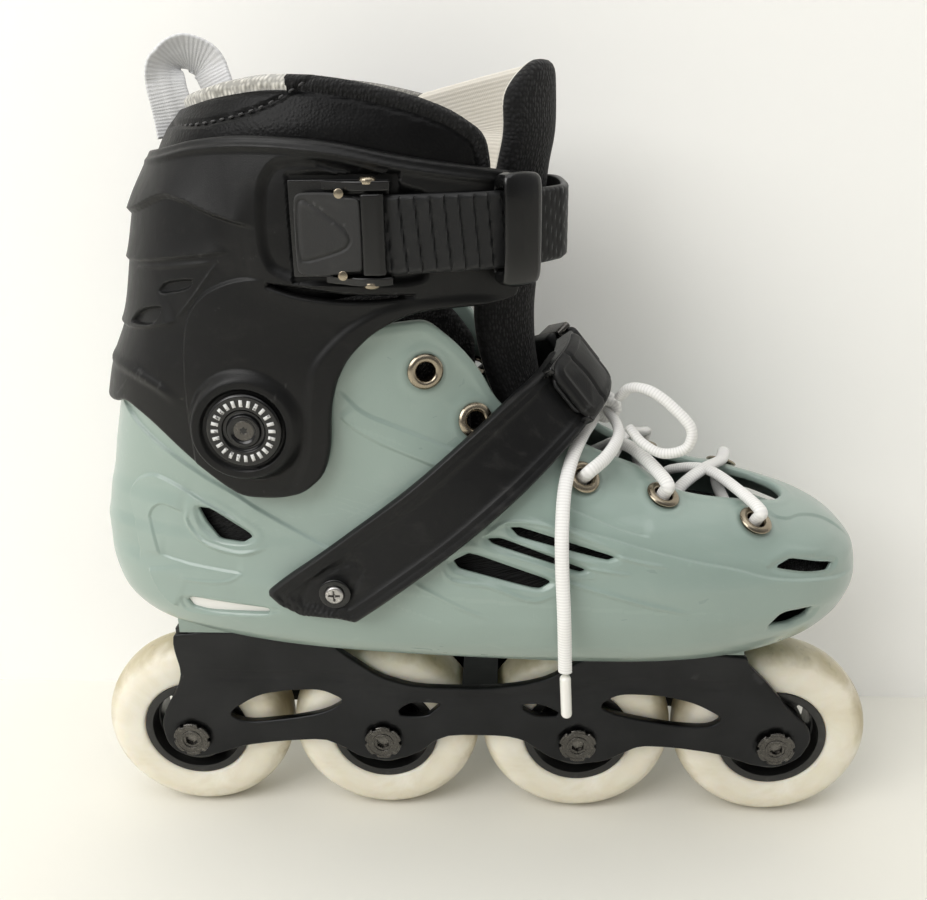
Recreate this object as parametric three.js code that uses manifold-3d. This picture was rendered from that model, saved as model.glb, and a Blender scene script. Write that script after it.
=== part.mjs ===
// Inline skate, right foot: moulded shell boot, hinged cuff and a four-wheel frame.
// Millimetres. +X points to the toe, -Y is the outer side of the foot, +Z is up.
// The origin is on the ground, midway between the end axles, in the centre plane.
import * as THREE from 'three';
import Module from 'manifold-3d';

const wasm = await Module();
wasm.setup();

// ---------------------------------------------------------------- dimensions
const WHEEL_RADIUS = 40;
const WHEEL_HALF_WIDTH = 12;
const WHEEL_PITCH = 81;
const AXLE_X = [-1.5, -0.5, 0.5, 1.5].map((step) => step * WHEEL_PITCH);
const AXLE_Z = WHEEL_RADIUS;
const TREAD_FLAT = 3.6;
const TYRE_SEGMENTS = 28;
// The tyre's facets, not its edges, lie at the wheel radius, so it stands on a flat.
const TREAD_RADIUS = WHEEL_RADIUS / Math.cos(Math.PI / TYRE_SEGMENTS);
const HUB_RADIUS = 22;
const HUB_WINDOWS = 5;
const BEARING_OUTER = 10.95;
const BEARING_BORE = 4.3;
const BEARING_WIDTH = 7;
const AXLE_RADIUS = 3.95;
const AXLE_HEAD_RADIUS = 7.7;
const AXLE_HEAD_HEIGHT = 1.5;

const FRAME_INNER = 12.9;
const FRAME_OUTER = 16.5;
const REAR_DECK_Z = 91;
const FRONT_DECK_Z = 83.2;
const MOUNT_BOLTS = [
  { name: 'rear_mount_bolt', x: -88, top: REAR_DECK_Z, deck: 5.4 },
  { name: 'front_mount_bolt', x: 81, top: FRONT_DECK_Z, deck: 4.6 },
];

const SHELL_WALL = 3.4;
const CUFF_INNER = 1.0;
const CUFF_OUTER = 4.4;
const CUFF_PIVOT = { x: -76, z: 190 };
const PIVOT_SEAT_Y = 51.4;
const PIVOT_CAP_RADIUS = 12.6;
const LINER_GAP = 5.2;
const LINER_WALL = 6;
const COLLAR_WALL = 8;
const LADDER_OFFSET = 6.1;
const LADDER_BOTTOM = 241;
const LADDER_TOP = 265;
const BUCKLE_HINGE = { x: -31, y: -55.6 };
const POCKET_FLOOR = 49.6;

const RING_POINTS = 26;
const GAP = 0.35;

// Boot sections by height: z, heel x, toe x, half width, x of the widest point,
// and how square the heel and toe ends of the section are.
const SECTIONS = [
  [84, 26, 108, 20, 66, 2.2, 2.2],
  [88, -14, 122, 29, 60, 2.4, 2.2],
  [93, -58, 132, 37, 54, 2.6, 2.2],
  [99, -118, 140, 43.5, 50, 2.8, 2.2],
  [107, -137, 145.5, 48, 47, 2.8, 2.25],
  [117, -143.5, 148, 50.3, 45, 2.8, 2.3],
  [127, -145.5, 146.5, 50.5, 42, 2.8, 2.3],
  [135, -146, 141, 49.3, 36, 2.7, 2.3],
  [142, -146, 131, 48, 28, 2.7, 2.2],
  [148, -145, 114, 46.8, 18, 2.6, 2.2],
  [154, -143.7, 88, 45.7, 6, 2.6, 2.2],
  [162, -141.5, 66, 44.8, -8, 2.5, 2.1],
  [171, -139.5, 50, 44.5, -24, 2.5, 2.1],
  [181, -137, 38, 45, -40, 2.4, 2.1],
  [193, -134, 30, 46, -54, 2.3, 2.1],
  [206, -130, 26, 46.5, -60, 2.3, 2.1],
  [222, -123, 24.5, 46, -60, 2.3, 2.2],
  [240, -119.5, 25, 46, -54, 2.3, 2.3],
  [260, -115.5, 26, 46.5, -48, 2.3, 2.3],
  [280, -106, 27, 47, -42, 2.2, 2.3],
  [304, -93, 27, 47, -36, 2.2, 2.3],
];

// ---------------------------------------------------------------- materials
const finish = (color, roughness, metalness = 0) => ({ color, roughness, metalness });
const FINISHES = {
  shell: finish(0x8fa79a, 0.35),
  blackPlastic: finish(0x17181a, 0.45),
  buckle: finish(0x2a2b2c, 0.5),
  frame: finish(0x303236, 0.4, 0.8),
  steel: finish(0x8a8a88, 0.3, 1),
  darkSteel: finish(0x26272a, 0.35, 1),
  nickel: finish(0xb4a68c, 0.25, 1),
  tyre: finish(0xe6dfc4, 0.4),
  hub: finish(0x202124, 0.5),
  fabric: finish(0x141414, 0.9),
  leather: finish(0x1a1a1b, 0.55),
  lace: finish(0xf0efe9, 0.8),
  insole: finish(0x333333, 0.9),
};

// ------------------------------------------------------------ solid helpers
function manifoldOf(positions, triangles) {
  const mesh = new wasm.Mesh({
    numProp: 3,
    vertProperties: new Float32Array(positions.flat()),
    triVerts: new Uint32Array(triangles.flat()),
  });
  return new wasm.Manifold(mesh);
}

function geometryOf(manifold) {
  const mesh = manifold.getMesh();
  const geometry = new THREE.BufferGeometry();
  geometry.setAttribute('position', new THREE.BufferAttribute(new Float32Array(mesh.vertProperties), 3));
  geometry.setIndex(new THREE.BufferAttribute(new Uint32Array(mesh.triVerts), 1));
  return geometry;
}

function cut(body, ...tools) {
  return tools.reduce((result, tool) => result.subtract(tool), body);
}

function join(body, ...others) {
  return others.reduce((result, other) => result.add(other), body);
}

// Rings of points, one after another, skinned and closed at both ends.
function loft(rings) {
  const count = rings[0].length;
  const positions = rings.flat();
  const triangles = [];
  for (let r = 0; r + 1 < rings.length; r += 1) {
    for (let k = 0; k < count; k += 1) {
      const a = r * count + k;
      const b = r * count + ((k + 1) % count);
      triangles.push([a, b, b + count], [a, b + count, a + count]);
    }
  }
  const capFrom = (ring, flip) => {
    const start = ring * count;
    const centre = positions.length;
    const mean = [0, 1, 2].map((axis) => rings[ring].reduce((sum, p) => sum + p[axis], 0) / count);
    positions.push(mean);
    for (let k = 0; k < count; k += 1) {
      const a = start + k;
      const b = start + ((k + 1) % count);
      triangles.push(flip ? [b, a, centre] : [a, b, centre]);
    }
  };
  capFrom(0, true);
  capFrom(rings.length - 1, false);
  return oriented(positions, triangles);
}

function oriented(positions, triangles) {
  let volume = 0;
  for (const [a, b, c] of triangles) {
    const [p, q, r] = [positions[a], positions[b], positions[c]];
    volume += p[0] * (q[1] * r[2] - q[2] * r[1])
      - p[1] * (q[0] * r[2] - q[2] * r[0])
      + p[2] * (q[0] * r[1] - q[1] * r[0]);
  }
  const facing = volume > 0 ? triangles : triangles.map(([a, b, c]) => [a, c, b]);
  return manifoldOf(positions, facing);
}

// A flat outline (u, v) swept from h0 to h1; place(u, v, h) gives the point.
function prism(outline, h0, h1, place) {
  const count = outline.length;
  const contour = outline.map(([u, v]) => new THREE.Vector2(u, v));
  const faces = THREE.ShapeUtils.triangulateShape(contour, []);
  const positions = [
    ...outline.map(([u, v]) => place(u, v, h0)),
    ...outline.map(([u, v]) => place(u, v, h1)),
  ];
  const sign = THREE.ShapeUtils.isClockWise(contour) ? -1 : 1;
  const triangles = [];
  for (const [a, b, c] of faces) {
    triangles.push([a, c, b], [a + count, b + count, c + count]);
  }
  for (let k = 0; k < count; k += 1) {
    const next = (k + 1) % count;
    if (sign > 0) {
      triangles.push([k, next, next + count], [k, next + count, k + count]);
    } else {
      triangles.push([next, k, k + count], [next, k + count, next + count]);
    }
  }
  return oriented(positions, triangles);
}

const sideways = (u, v, h) => [u, h, v];
const upwards = (u, v, h) => [u, v, h];
const sidePrism = (outline, y0, y1) => prism(outline, y0, y1, sideways);
const topPrism = (outline, z0, z1) => prism(outline, z0, z1, upwards);

function box([x0, y0, z0], [x1, y1, z1]) {
  return topPrism([[x0, y0], [x1, y0], [x1, y1], [x0, y1]], z0, z1);
}

// A profile of (radius, height) turned about an axis through a base point.
function turned(profile, segments, base, axis) {
  const w = new THREE.Vector3(...axis).normalize();
  const helper = Math.abs(w.z) < 0.9 ? new THREE.Vector3(0, 0, 1) : new THREE.Vector3(1, 0, 0);
  const u = new THREE.Vector3().crossVectors(w, helper).normalize();
  const v = new THREE.Vector3().crossVectors(w, u);
  const positions = [];
  const rows = profile.map(([radius, height]) => {
    const point = (angle) => {
      const a = radius * Math.cos(angle);
      const b = radius * Math.sin(angle);
      return [0, 1, 2].map((i) => base[i] + u.getComponent(i) * a + v.getComponent(i) * b
        + w.getComponent(i) * height);
    };
    const start = positions.length;
    if (radius === 0) {
      positions.push(point(0));
      return Array(segments).fill(start);
    }
    for (let k = 0; k < segments; k += 1) {
      positions.push(point((2 * Math.PI * (k + 0.5)) / segments));
    }
    return Array.from({ length: segments }, (_, k) => start + k);
  });
  const triangles = [];
  for (let r = 0; r < rows.length; r += 1) {
    const lower = rows[r];
    const upper = rows[(r + 1) % rows.length];
    for (let k = 0; k < segments; k += 1) {
      const next = (k + 1) % segments;
      const quad = [[lower[k], lower[next], upper[next]], [lower[k], upper[next], upper[k]]];
      for (const triangle of quad) {
        if (new Set(triangle).size === 3) triangles.push(triangle);
      }
    }
  }
  return oriented(positions, triangles);
}

function cylinder(radius, base, axis, h0, h1, segments = 20) {
  return turned([[0, h0], [radius, h0], [radius, h1], [0, h1]], segments, base, axis);
}

// A smooth path through points, as evenly spaced samples.
function smoothPath(points, samples) {
  const curve = new THREE.CatmullRomCurve3(points.map((p) => new THREE.Vector3(...p)), false, 'centripetal');
  return curve.getSpacedPoints(samples);
}

// A round cord along a path.
function cord(points, radius, samples, sides = 8) {
  const path = smoothPath(points, samples);
  const rings = [];
  let side = null;
  for (let i = 0; i < path.length; i += 1) {
    const before = path[Math.max(0, i - 1)];
    const after = path[Math.min(path.length - 1, i + 1)];
    const along = after.clone().sub(before).normalize();
    if (side === null) {
      const helper = Math.abs(along.z) < 0.9 ? new THREE.Vector3(0, 0, 1) : new THREE.Vector3(1, 0, 0);
      side = helper.cross(along).normalize();
    }
    side = side.clone().addScaledVector(along, -side.dot(along)).normalize();
    const other = along.clone().cross(side);
    const ring = [];
    for (let k = 0; k < sides; k += 1) {
      const angle = (2 * Math.PI * k) / sides;
      const p = path[i].clone()
        .addScaledVector(side, radius * Math.cos(angle))
        .addScaledVector(other, radius * Math.sin(angle));
      ring.push([p.x, p.y, p.z]);
    }
    rings.push(ring);
  }
  return loft(rings);
}

// A flat band along a path: across is its width direction, or one for each point.
function band(points, across, halfWidth, thickness, samples) {
  const path = smoothPath(points, samples);
  const widths = Array.isArray(across[0]) ? across : points.map(() => across);
  const nearest = (point) => {
    const distances = points.map((p) => point.distanceTo(new THREE.Vector3(...p)));
    const first = distances.indexOf(Math.min(...distances));
    const ahead = first + 1 < points.length ? distances[first + 1] : Infinity;
    const behind = first > 0 ? distances[first - 1] : Infinity;
    const second = ahead < behind ? first + 1 : first - 1;
    const share = distances[first] / (distances[first] + distances[second]);
    return new THREE.Vector3(...widths[first]).multiplyScalar(1 - share)
      .addScaledVector(new THREE.Vector3(...widths[second]), share)
      .normalize();
  };
  const rings = path.map((point, i) => {
    const wide = nearest(point);
    const before = path[Math.max(0, i - 1)];
    const after = path[Math.min(path.length - 1, i + 1)];
    const along = after.clone().sub(before).normalize();
    const out = along.clone().cross(wide).normalize();
    const half = typeof halfWidth === 'function' ? halfWidth(i / (path.length - 1)) : halfWidth;
    return [[-1, -1], [1, -1], [1, 1], [-1, 1]].map(([a, b]) => {
      const p = point.clone().addScaledVector(wide, a * half).addScaledVector(out, (b * thickness) / 2);
      return [p.x, p.y, p.z];
    });
  });
  return loft(rings);
}

const mirrored = (points) => points.map(([x, y, z]) => [x, -y, z]);

// ----------------------------------------------------------- boot surfaces
// Smooth interpolation of the section table at one height.
function sectionAt(z) {
  const last = SECTIONS.length - 1;
  const height = Math.min(Math.max(z, SECTIONS[0][0]), SECTIONS[last][0]);
  let i = 0;
  while (i < last - 1 && SECTIONS[i + 1][0] <= height) i += 1;
  const rise = (k) => SECTIONS[k + 1][0] - SECTIONS[k][0];
  const grade = (k, c) => (SECTIONS[k + 1][c] - SECTIONS[k][c]) / rise(k);
  const tangent = (k, c) => {
    if (k === 0) return grade(0, c);
    if (k === last) return grade(last - 1, c);
    const a = grade(k - 1, c);
    const b = grade(k, c);
    return a * b > 0 ? (2 * a * b) / (a + b) : 0;
  };
  const t = (height - SECTIONS[i][0]) / rise(i);
  return [1, 2, 3, 4, 5, 6].map((c) => {
    const h = rise(i);
    const value0 = (2 * t ** 3 - 3 * t ** 2 + 1) * SECTIONS[i][c];
    const value1 = (-2 * t ** 3 + 3 * t ** 2) * SECTIONS[i + 1][c];
    const slope0 = (t ** 3 - 2 * t ** 2 + t) * h * tangent(i, c);
    const slope1 = (t ** 3 - t ** 2) * h * tangent(i + 1, c);
    return value0 + value1 + slope0 + slope1;
  });
}

// The toe of the boot swings slightly towards the inner side of the foot.
const toeSwing = (x) => 5 * Math.min(Math.max((x - 20) / 128, 0), 1) ** 2;

function bootRing(z, offset, sourceZ = z, count = RING_POINTS) {
  const [heel, toe, half, middle, squareHeel, squareToe] = sectionAt(sourceZ);
  const ring = [];
  for (let k = 0; k < count; k += 1) {
    const angle = (2 * Math.PI * k) / count;
    const c = Math.cos(angle);
    const s = Math.sin(angle);
    const power = 2 / (c >= 0 ? squareToe : squareHeel);
    const reach = c >= 0 ? toe - middle + offset : middle - heel + offset;
    const x = middle + Math.sign(c) * reach * Math.abs(c) ** power;
    const y = Math.sign(s) * (half + offset) * Math.abs(s) ** power;
    ring.push([x, y + toeSwing(x), z]);
  }
  return ring;
}

// Half width of the boot's outer surface at a side-view point, moved out by offset.
function halfWidthAt(x, z, offset = 0) {
  const [heel, toe, half, middle, squareHeel, squareToe] = sectionAt(z);
  const ahead = x >= middle;
  const reach = ahead ? toe - middle + offset : middle - heel + offset;
  const t = Math.min(Math.abs(x - middle) / reach, 1);
  const power = ahead ? squareToe : squareHeel;
  return (half + offset) * (1 - t ** power) ** (1 / power);
}

const surfacePoint = (x, z, side, offset = 0) => [x, side * halfWidthAt(x, z, offset) + toeSwing(x), z];

function surfaceNormal(x, z, side) {
  const step = 0.5;
  const dx = (halfWidthAt(x + step, z) - halfWidthAt(x - step, z)) / (2 * step);
  const dz = (halfWidthAt(x, z + step) - halfWidthAt(x, z - step)) / (2 * step);
  return new THREE.Vector3(-dx, side, -dz).normalize();
}

// A boot-shaped block; the wall shift drops or lifts the source height, so that
// the sole and the toe cap keep their thickness as well as the side walls.
function bootBlock(levels, offset, lift, count = RING_POINTS) {
  return loft(levels.map((z) => bootRing(z, offset, z + lift(z), count)));
}

const blend = (z, a, b) => Math.min(Math.max((z - a) / (b - a), 0), 1);
const wallLift = (wall) => (z) => {
  const sole = -wall * (1 - blend(z, 102, 128));
  const toeCap = wall * 1.6 * blend(z, 118, 136) * (1 - blend(z, 172, 205));
  return sole + toeCap;
};
const noLift = () => 0;

// -------------------------------------------------------------------- parts
const group = new THREE.Group();
group.name = 'inline_skate';

function place(name, manifold, slot) {
  const material = new THREE.MeshStandardMaterial({ name: slot, ...FINISHES[slot] });
  const mesh = new THREE.Mesh(geometryOf(manifold), material);
  mesh.name = name;
  group.add(mesh);
}

// Wheels: tyre, core, two bearings and an axle with its spacer sleeve.
const tyreProfile = [
  [22.5, -11.4], [31, -WHEEL_HALF_WIDTH], [37.2, -9], [TREAD_RADIUS, -TREAD_FLAT],
  [TREAD_RADIUS, TREAD_FLAT], [37.2, 9], [31, WHEEL_HALF_WIDTH], [22.5, 11.4],
];
const hubProfile = [
  [11.4, -12], [14, -12], [14, -3.5], [19, -3.5], [19, -11], [HUB_RADIUS, -11],
  [HUB_RADIUS, 11], [19, 11], [19, 3.5], [14, 3.5], [14, 12], [11.4, 12],
  [11.4, 4.8], [8, 4.8], [8, -4.8], [11.4, -4.8],
];
const headEnd = FRAME_OUTER + GAP + AXLE_HEAD_HEIGHT;
const axleProfile = [
  [0, -headEnd], [AXLE_HEAD_RADIUS, -headEnd], [AXLE_HEAD_RADIUS, -FRAME_OUTER - GAP],
  [AXLE_RADIUS, -FRAME_OUTER - GAP], [AXLE_RADIUS, -4.6], [5.2, -4.6], [5.2, 4.6],
  [AXLE_RADIUS, 4.6], [AXLE_RADIUS, FRAME_OUTER + GAP], [AXLE_HEAD_RADIUS, FRAME_OUTER + GAP],
  [AXLE_HEAD_RADIUS, headEnd], [0, headEnd],
];
AXLE_X.forEach((x, index) => {
  const centre = [x, 0, AXLE_Z];
  const across = [0, 1, 0];
  const number = index + 1;
  place(`wheel_${number}_tyre`, turned(tyreProfile, TYRE_SEGMENTS, centre, across), 'tyre');
  let hub = turned(hubProfile, 14, centre, across);
  for (let k = 0; k < HUB_WINDOWS; k += 1) {
    const angle = (2 * Math.PI * (k + 0.25)) / HUB_WINDOWS;
    const at = (radius, turn) => [
      x + radius * Math.cos(angle + turn),
      AXLE_Z + radius * Math.sin(angle + turn),
    ];
    hub = hub.subtract(sidePrism([at(14.6, -0.36), at(18.4, -0.42), at(18.4, 0.42), at(14.6, 0.36)], -6, 6));
  }
  place(`wheel_${number}_hub`, hub, 'hub');
  const seat = 4.8 + 0.2;
  const bearing = [
    [BEARING_BORE, seat], [BEARING_OUTER, seat],
    [BEARING_OUTER, seat + BEARING_WIDTH], [BEARING_BORE, seat + BEARING_WIDTH],
  ];
  place(`wheel_${number}_bearing_right`, turned(bearing, 12, centre, [0, -1, 0]), 'steel');
  place(`wheel_${number}_bearing_left`, turned(bearing, 12, centre, across), 'steel');
  place(`wheel_${number}_axle`, turned(axleProfile, 12, centre, across), 'darkSteel');
});

// Frame: two side plates joined by the rear deck, a middle web and the front deck.
const frameSide = [
  [-124, REAR_DECK_Z], [-125, 84], [-123, 72], [-125, 65], [-131, 55], [-134, 47], [-133, 37],
  [-129, 32], [-122, 29.5], [-115, 30.5], [-108, 33], [-100, 36], [-85, 38.5], [-66, 40],
  [-59, 37], [-50, 31], [-40, 29.5], [-32, 31], [-24, 35], [-19, 40], [-12, 43], [10, 43],
  [18, 41], [23, 37], [31, 31.5], [41, 29.5], [52, 31], [59, 35], [66, 39], [80, 38.5],
  [97, 36], [106, 33], [114, 30], [124, 29.5], [132, 34], [136, 43], [134, 50], [126, 57],
  [116, 70], [108, 78], [106, FRONT_DECK_Z], [48, FRONT_DECK_Z], [38, 78], [28, 71], [18, 68],
  [4, 66], [-20, 66], [-29, 67], [-41, 71], [-53, 80], [-59, 85], [-62, REAR_DECK_Z],
];
const frameSlots = [
  [[-106, 52], [-92, 61.5], [-78, 64], [-65, 64.5], [-55, 59], [-65, 53], [-79, 50], [-98, 47.5]],
  [[-34, 55], [-28, 59], [-15, 58.5], [-19, 55], [-22, 52], [-33, 52]],
  [[16, 57.5], [20, 59], [26, 58.5], [34, 54], [31, 53], [23, 53]],
  [[48, 58], [56, 64], [68, 64], [77, 63], [88, 60], [100, 53], [94, 48.5], [78, 49.5], [58, 53.5]],
];
const channelCuts = [
  // Under the rear deck, over the middle web's sides, and under the front deck.
  [[-140, 20], [-140, REAR_DECK_Z - 5.4], [-66, REAR_DECK_Z - 5.4], [-60, 80], [-40, 95], [-7.5, 95],
    [-7.5, 66], [-1, 57.5], [1, 57.5], [7.5, 66], [7.5, 95], [40, 95], [47, 81.2], [62, FRONT_DECK_Z - 4.6],
    [96, FRONT_DECK_Z - 4.6], [101, 95], [145, 95], [145, 20]],
];
let frame = sidePrism(frameSide, -FRAME_OUTER, FRAME_OUTER);
frame = cut(frame, ...channelCuts.map((outline) => sidePrism(outline, -FRAME_INNER, FRAME_INNER)));
frame = cut(frame, ...frameSlots.map((outline) => sidePrism(outline, -30, 30)));
AXLE_X.forEach((x) => {
  frame = frame.subtract(cylinder(4.5, [x, 0, AXLE_Z], [0, 1, 0], -30, 30, 12));
});
MOUNT_BOLTS.forEach((bolt) => {
  frame = frame.subtract(cylinder(4.4, [bolt.x, 0, 0], [0, 0, 1], 60, 100, 16));
});
place('frame', frame, 'frame');
MOUNT_BOLTS.forEach((bolt) => {
  const seat = bolt.top - bolt.deck - GAP;
  const profile = [[0, seat - 3.6], [6.6, seat - 3.6], [6.6, seat], [4, seat], [4, bolt.top + 6], [0, bolt.top + 6]];
  place(bolt.name, turned(profile, 16, [bolt.x, 0, 0], [0, 0, 1]), 'darkSteel');
});

// Shell. The throat outline is half of the lacing gap seen from above.
const throatHalf = [
  [-6, 24], [3, 30], [9, 31], [18, 27], [34, 21], [51, 15.5],
  [60, 13.5], [64.5, 16.4], [68, 20], [76, 20.6], [93, 17.5], [107, 14], [113, 11], [117, 5],
];
const throatAt = (grow) => {
  const outward = throatHalf.map(([x, y]) => [x + grow * 0.4, y + grow]);
  const rightEdge = outward.map(([x, y]) => [x, -y + toeSwing(x)]);
  const leftEdge = outward.map(([x, y]) => [x, y + toeSwing(x)]).reverse();
  return [...rightEdge, [118 + grow, toeSwing(118)], ...leftEdge];
};
const shellRim = [
  [-170, 192.5], [-124, 197], [-112, 203], [-98, 211], [-80, 217], [-50, 221], [-20, 224], [-14.5, 223.5],
  [-5, 214.6], [1.7, 205.8], [6.7, 195.7], [13, 188.5], [60, 188.5], [60, 260], [-170, 260],
];
const sideVents = [
  [[-101, 155], [-96, 155], [-80, 146], [-84, 143.4], [-93, 144], [-98, 149]],
  [[12, 152], [16, 152], [49, 141.5], [46, 140.4], [15, 148.6]],
  [[4, 148], [9, 148.2], [39, 137], [36, 136.2], [6, 146]],
  [[-8, 140], [-2, 143], [27, 133], [22, 129.8], [-6, 137]],
];
const toeVents = [
  [[107, 133.4], [114, 135.4], [133, 129.2], [131, 126.6], [122, 128.8]],
  [[106, 109.4], [111, 115], [124.5, 114], [123, 109.6], [116, 107.6]],
];
const heelSlot = [[-109, 117.4], [-106, 119], [-76, 118], [-76, 115.8], [-101, 113.2], [-107, 114]];

const EYELETS = [[-16.6, 206.9], [-0.2, 188.5], [37.7, 165.4], [67, 156.3], [100.7, 146.6]];
const eyeletSeat = (index, side) => {
  const [x, z] = EYELETS[index];
  return { point: surfacePoint(x, z, side), normal: surfaceNormal(x, z, side) };
};

const shellLevels = [
  84, 86, 88.5, 92, 96, 100, 105, 111, 119, 128, 135, 141, 147, 153, 160, 169, 181, 198, 228,
];
let shell = bootBlock(shellLevels, 0, noLift);
shell = join(
  shell,
  box([-121, -17, REAR_DECK_Z + GAP], [-63, 17, 112]),
  box([46, -16.5, FRONT_DECK_Z + GAP], [105, 16.5, 95]),
);
const insideLevels = [
  87.6, 90, 93.5, 98, 103, 108, 116, 124, 131, 137, 143, 149, 156, 165, 178, 198, 240,
];
const shellInside = bootBlock(insideLevels, -SHELL_WALL, wallLift(SHELL_WALL));
shell = cut(
  shell,
  shellInside,
  topPrism(throatAt(0), 132, 260),
  sidePrism(shellRim, -80, 80),
);
[-1, 1].forEach((side) => {
  const near = Math.min(side * 26, side * 80);
  const far = Math.max(side * 26, side * 80);
  shell = cut(shell, ...sideVents.map((outline) => sidePrism(outline, near, far)));
  shell = cut(shell, ...toeVents.map((outline) => sidePrism(outline, Math.min(side * 12, side * 80), Math.max(side * 12, side * 80))));
  shell = cut(shell, sidePrism(heelSlot, near, far));
  EYELETS.forEach((_, index) => {
    const { point, normal } = eyeletSeat(index, side);
    shell = shell.subtract(cylinder(4.6, point, normal.toArray(), -12, 6, 12));
  });
  shell = shell.subtract(cylinder(5.6, [CUFF_PIVOT.x, 0, CUFF_PIVOT.z], [0, side, 0], 30, 60, 16));
  shell = shell.subtract(cylinder(2.6, [-49, 0, 130.5], [0, side, 0], 30, 60, 12));
});
MOUNT_BOLTS.forEach((bolt) => {
  shell = shell.subtract(cylinder(4.4, [bolt.x, 0, 0], [0, 0, 1], 70, bolt.top + 7, 16));
});
place('shell', shell, 'shell');

// Eyelets: flanged rings through the shell, five on each side of the throat.
const eyeletProfile = [
  [3.15, -4], [4, -4], [4, 0.7], [5.7, 0.7], [5.4, 1.3], [4, 1.6], [3.15, 1.3],
];
[['right', -1], ['left', 1]].forEach(([word, side]) => {
  EYELETS.forEach((_, index) => {
    const { point, normal } = eyeletSeat(index, side);
    place(`eyelet_${word}_${index + 1}`, turned(eyeletProfile, 10, point, normal.toArray()), 'nickel');
  });
});

// Liner boot inside the shell, open along the throat for the tongue.
const linerLevels = [92.8, 96, 101, 107, 114, 124, 133, 141, 149, 159, 173, 195, 220];
const linerOutside = bootBlock(linerLevels, -LINER_GAP, wallLift(LINER_GAP + 3.2), 24);
const cavityOffset = -LINER_GAP - LINER_WALL;
const cavityLevels = [99, 102, 106, 111, 117, 126, 135, 144, 156, 174, 226];
const cavity = bootBlock(cavityLevels, cavityOffset, wallLift(14), 20);
const linerThroat = throatAt(8).map(([x, y]) => [Math.min(x, 112), y]);
const linerRim = shellRim.map(([x, z]) => [x - 3, z - 4]);
place('liner', cut(
  linerOutside,
  cavity,
  topPrism(linerThroat, 124, 260),
  sidePrism(linerRim, -80, 80),
), 'fabric');

// Insole: a thin bed on the floor of the liner.
const bed = bootBlock(cavityLevels.slice(0, 5), cavityOffset - 0.8, wallLift(14), 20).translate([0, 0, 0.5]);
const overBed = bootBlock(cavityLevels.slice(0, 5), cavityOffset + 3, wallLift(14), 20).translate([0, 0, 4]);
place('insole', cut(bed, overBed), 'insole');

// Liner collar: the padded upper part that leans with the cuff.
const collarTopAndFront = [
  [-150, 292], [-104, 293], [-91, 296], [-80, 298.5], [-64, 300.5], [-50, 300], [-36, 298],
  [-17, 293.5], [-5, 289], [5, 282], [7, 270], [7, 200], [60, 200], [60, 330], [-150, 330],
];
const collarHem = [[-170, 226.5], [-76, 226.5], [60, 247], [60, 200], [-170, 200]];
const collarOuter = [];
const collarInner = [];
for (let i = 0; i <= 8; i += 1) {
  const z = 222 + (i * 80) / 8;
  const roll = z > 284 ? -(z - 284) * 0.14 : 0;
  collarOuter.push(bootRing(z, 0.2 + roll));
  collarInner.push(bootRing(z === 222 ? 220 : z + (i === 8 ? 2 : 0), -COLLAR_WALL + (z > 290 ? 3 : 0), z));
}
place('liner_collar', cut(
  loft(collarOuter),
  loft(collarInner),
  sidePrism(collarTopAndFront, -80, 80),
  sidePrism(collarHem, -80, 80),
), 'leather');

// Tongue: a curved pad from the toe end of the throat up past the collar.
const tongueLine = [
  [88, 133, 15], [72, 139, 17.5], [56, 147, 19.5], [41, 159, 21], [29, 176, 22], [22, 197, 22],
  [20, 218, 21.5], [22.5, 238, 20.5], [25, 258, 20.5], [26, 270, 21], [28.6, 282, 23], [27.5, 294, 23], [22, 303, 19],
];
const tongueRings = tongueLine.map(([x, z, half], i) => {
  const [ax, az] = tongueLine[Math.max(0, i - 1)];
  const [bx, bz] = tongueLine[Math.min(tongueLine.length - 1, i + 1)];
  const length = Math.hypot(bx - ax, bz - az);
  const out = [(bz - az) / length, -(bx - ax) / length];
  const thick = i === 0 || i === tongueLine.length - 1 ? 3 : 8;
  const ring = [];
  const across = [-1, -0.72, -0.36, 0, 0.36, 0.72, 1];
  const bow = (u) => -7 * u * u;
  across.forEach((u) => {
    const push = bow(u);
    ring.push([x + out[0] * push, u * half + toeSwing(x), z + out[1] * push]);
  });
  [...across].reverse().forEach((u) => {
    const push = bow(u) - thick * (1 - 0.5 * u ** 4);
    ring.push([x + out[0] * push, u * half + toeSwing(x), z + out[1] * push]);
  });
  return ring;
});
place('tongue', loft(tongueRings), 'fabric');

// Cuff: a shell round the ankle, open at the front, with a seat at each pivot.
const cuffSide = [
  [-170, 189], [-132, 191], [-124, 194.5], [-113, 188.6], [-98.5, 175], [-88, 166.5], [-81, 162.3],
  [-68, 162.6], [-59, 165], [-51.5, 171.7], [-48.2, 182], [-47, 197], [-44.5, 206], [-40.5, 213.5],
  [-33, 220.7], [-24, 225.6], [-15.6, 228], [12, 228.4], [15.4, 231.5], [19.2, 264], [17, 269.5],
  [3, 272], [-21, 276], [-44, 281], [-70, 282.7], [-87, 281.4], [-101, 278.5], [-112, 277], [-170, 277],
];
const cuffLevels = [156, 163, 171, 181, 193, 206, 222, 240, 260, 280, 290];
const cuffOutside = bootBlock(cuffLevels, CUFF_OUTER, noLift);
const cuffInside = bootBlock([150, ...cuffLevels.slice(1, -1), 296], CUFF_INNER, noLift);
const pivotDisc = (radius, from, to, side, segments = 18) => cylinder(
  radius, [CUFF_PIVOT.x, 0, CUFF_PIVOT.z], [0, side, 0], from, to, segments,
);
let cuff = cuffOutside;
[-1, 1].forEach((side) => {
  cuff = cuff.add(pivotDisc(17, 40, PIVOT_SEAT_Y + 1.4, side));
});
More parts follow.
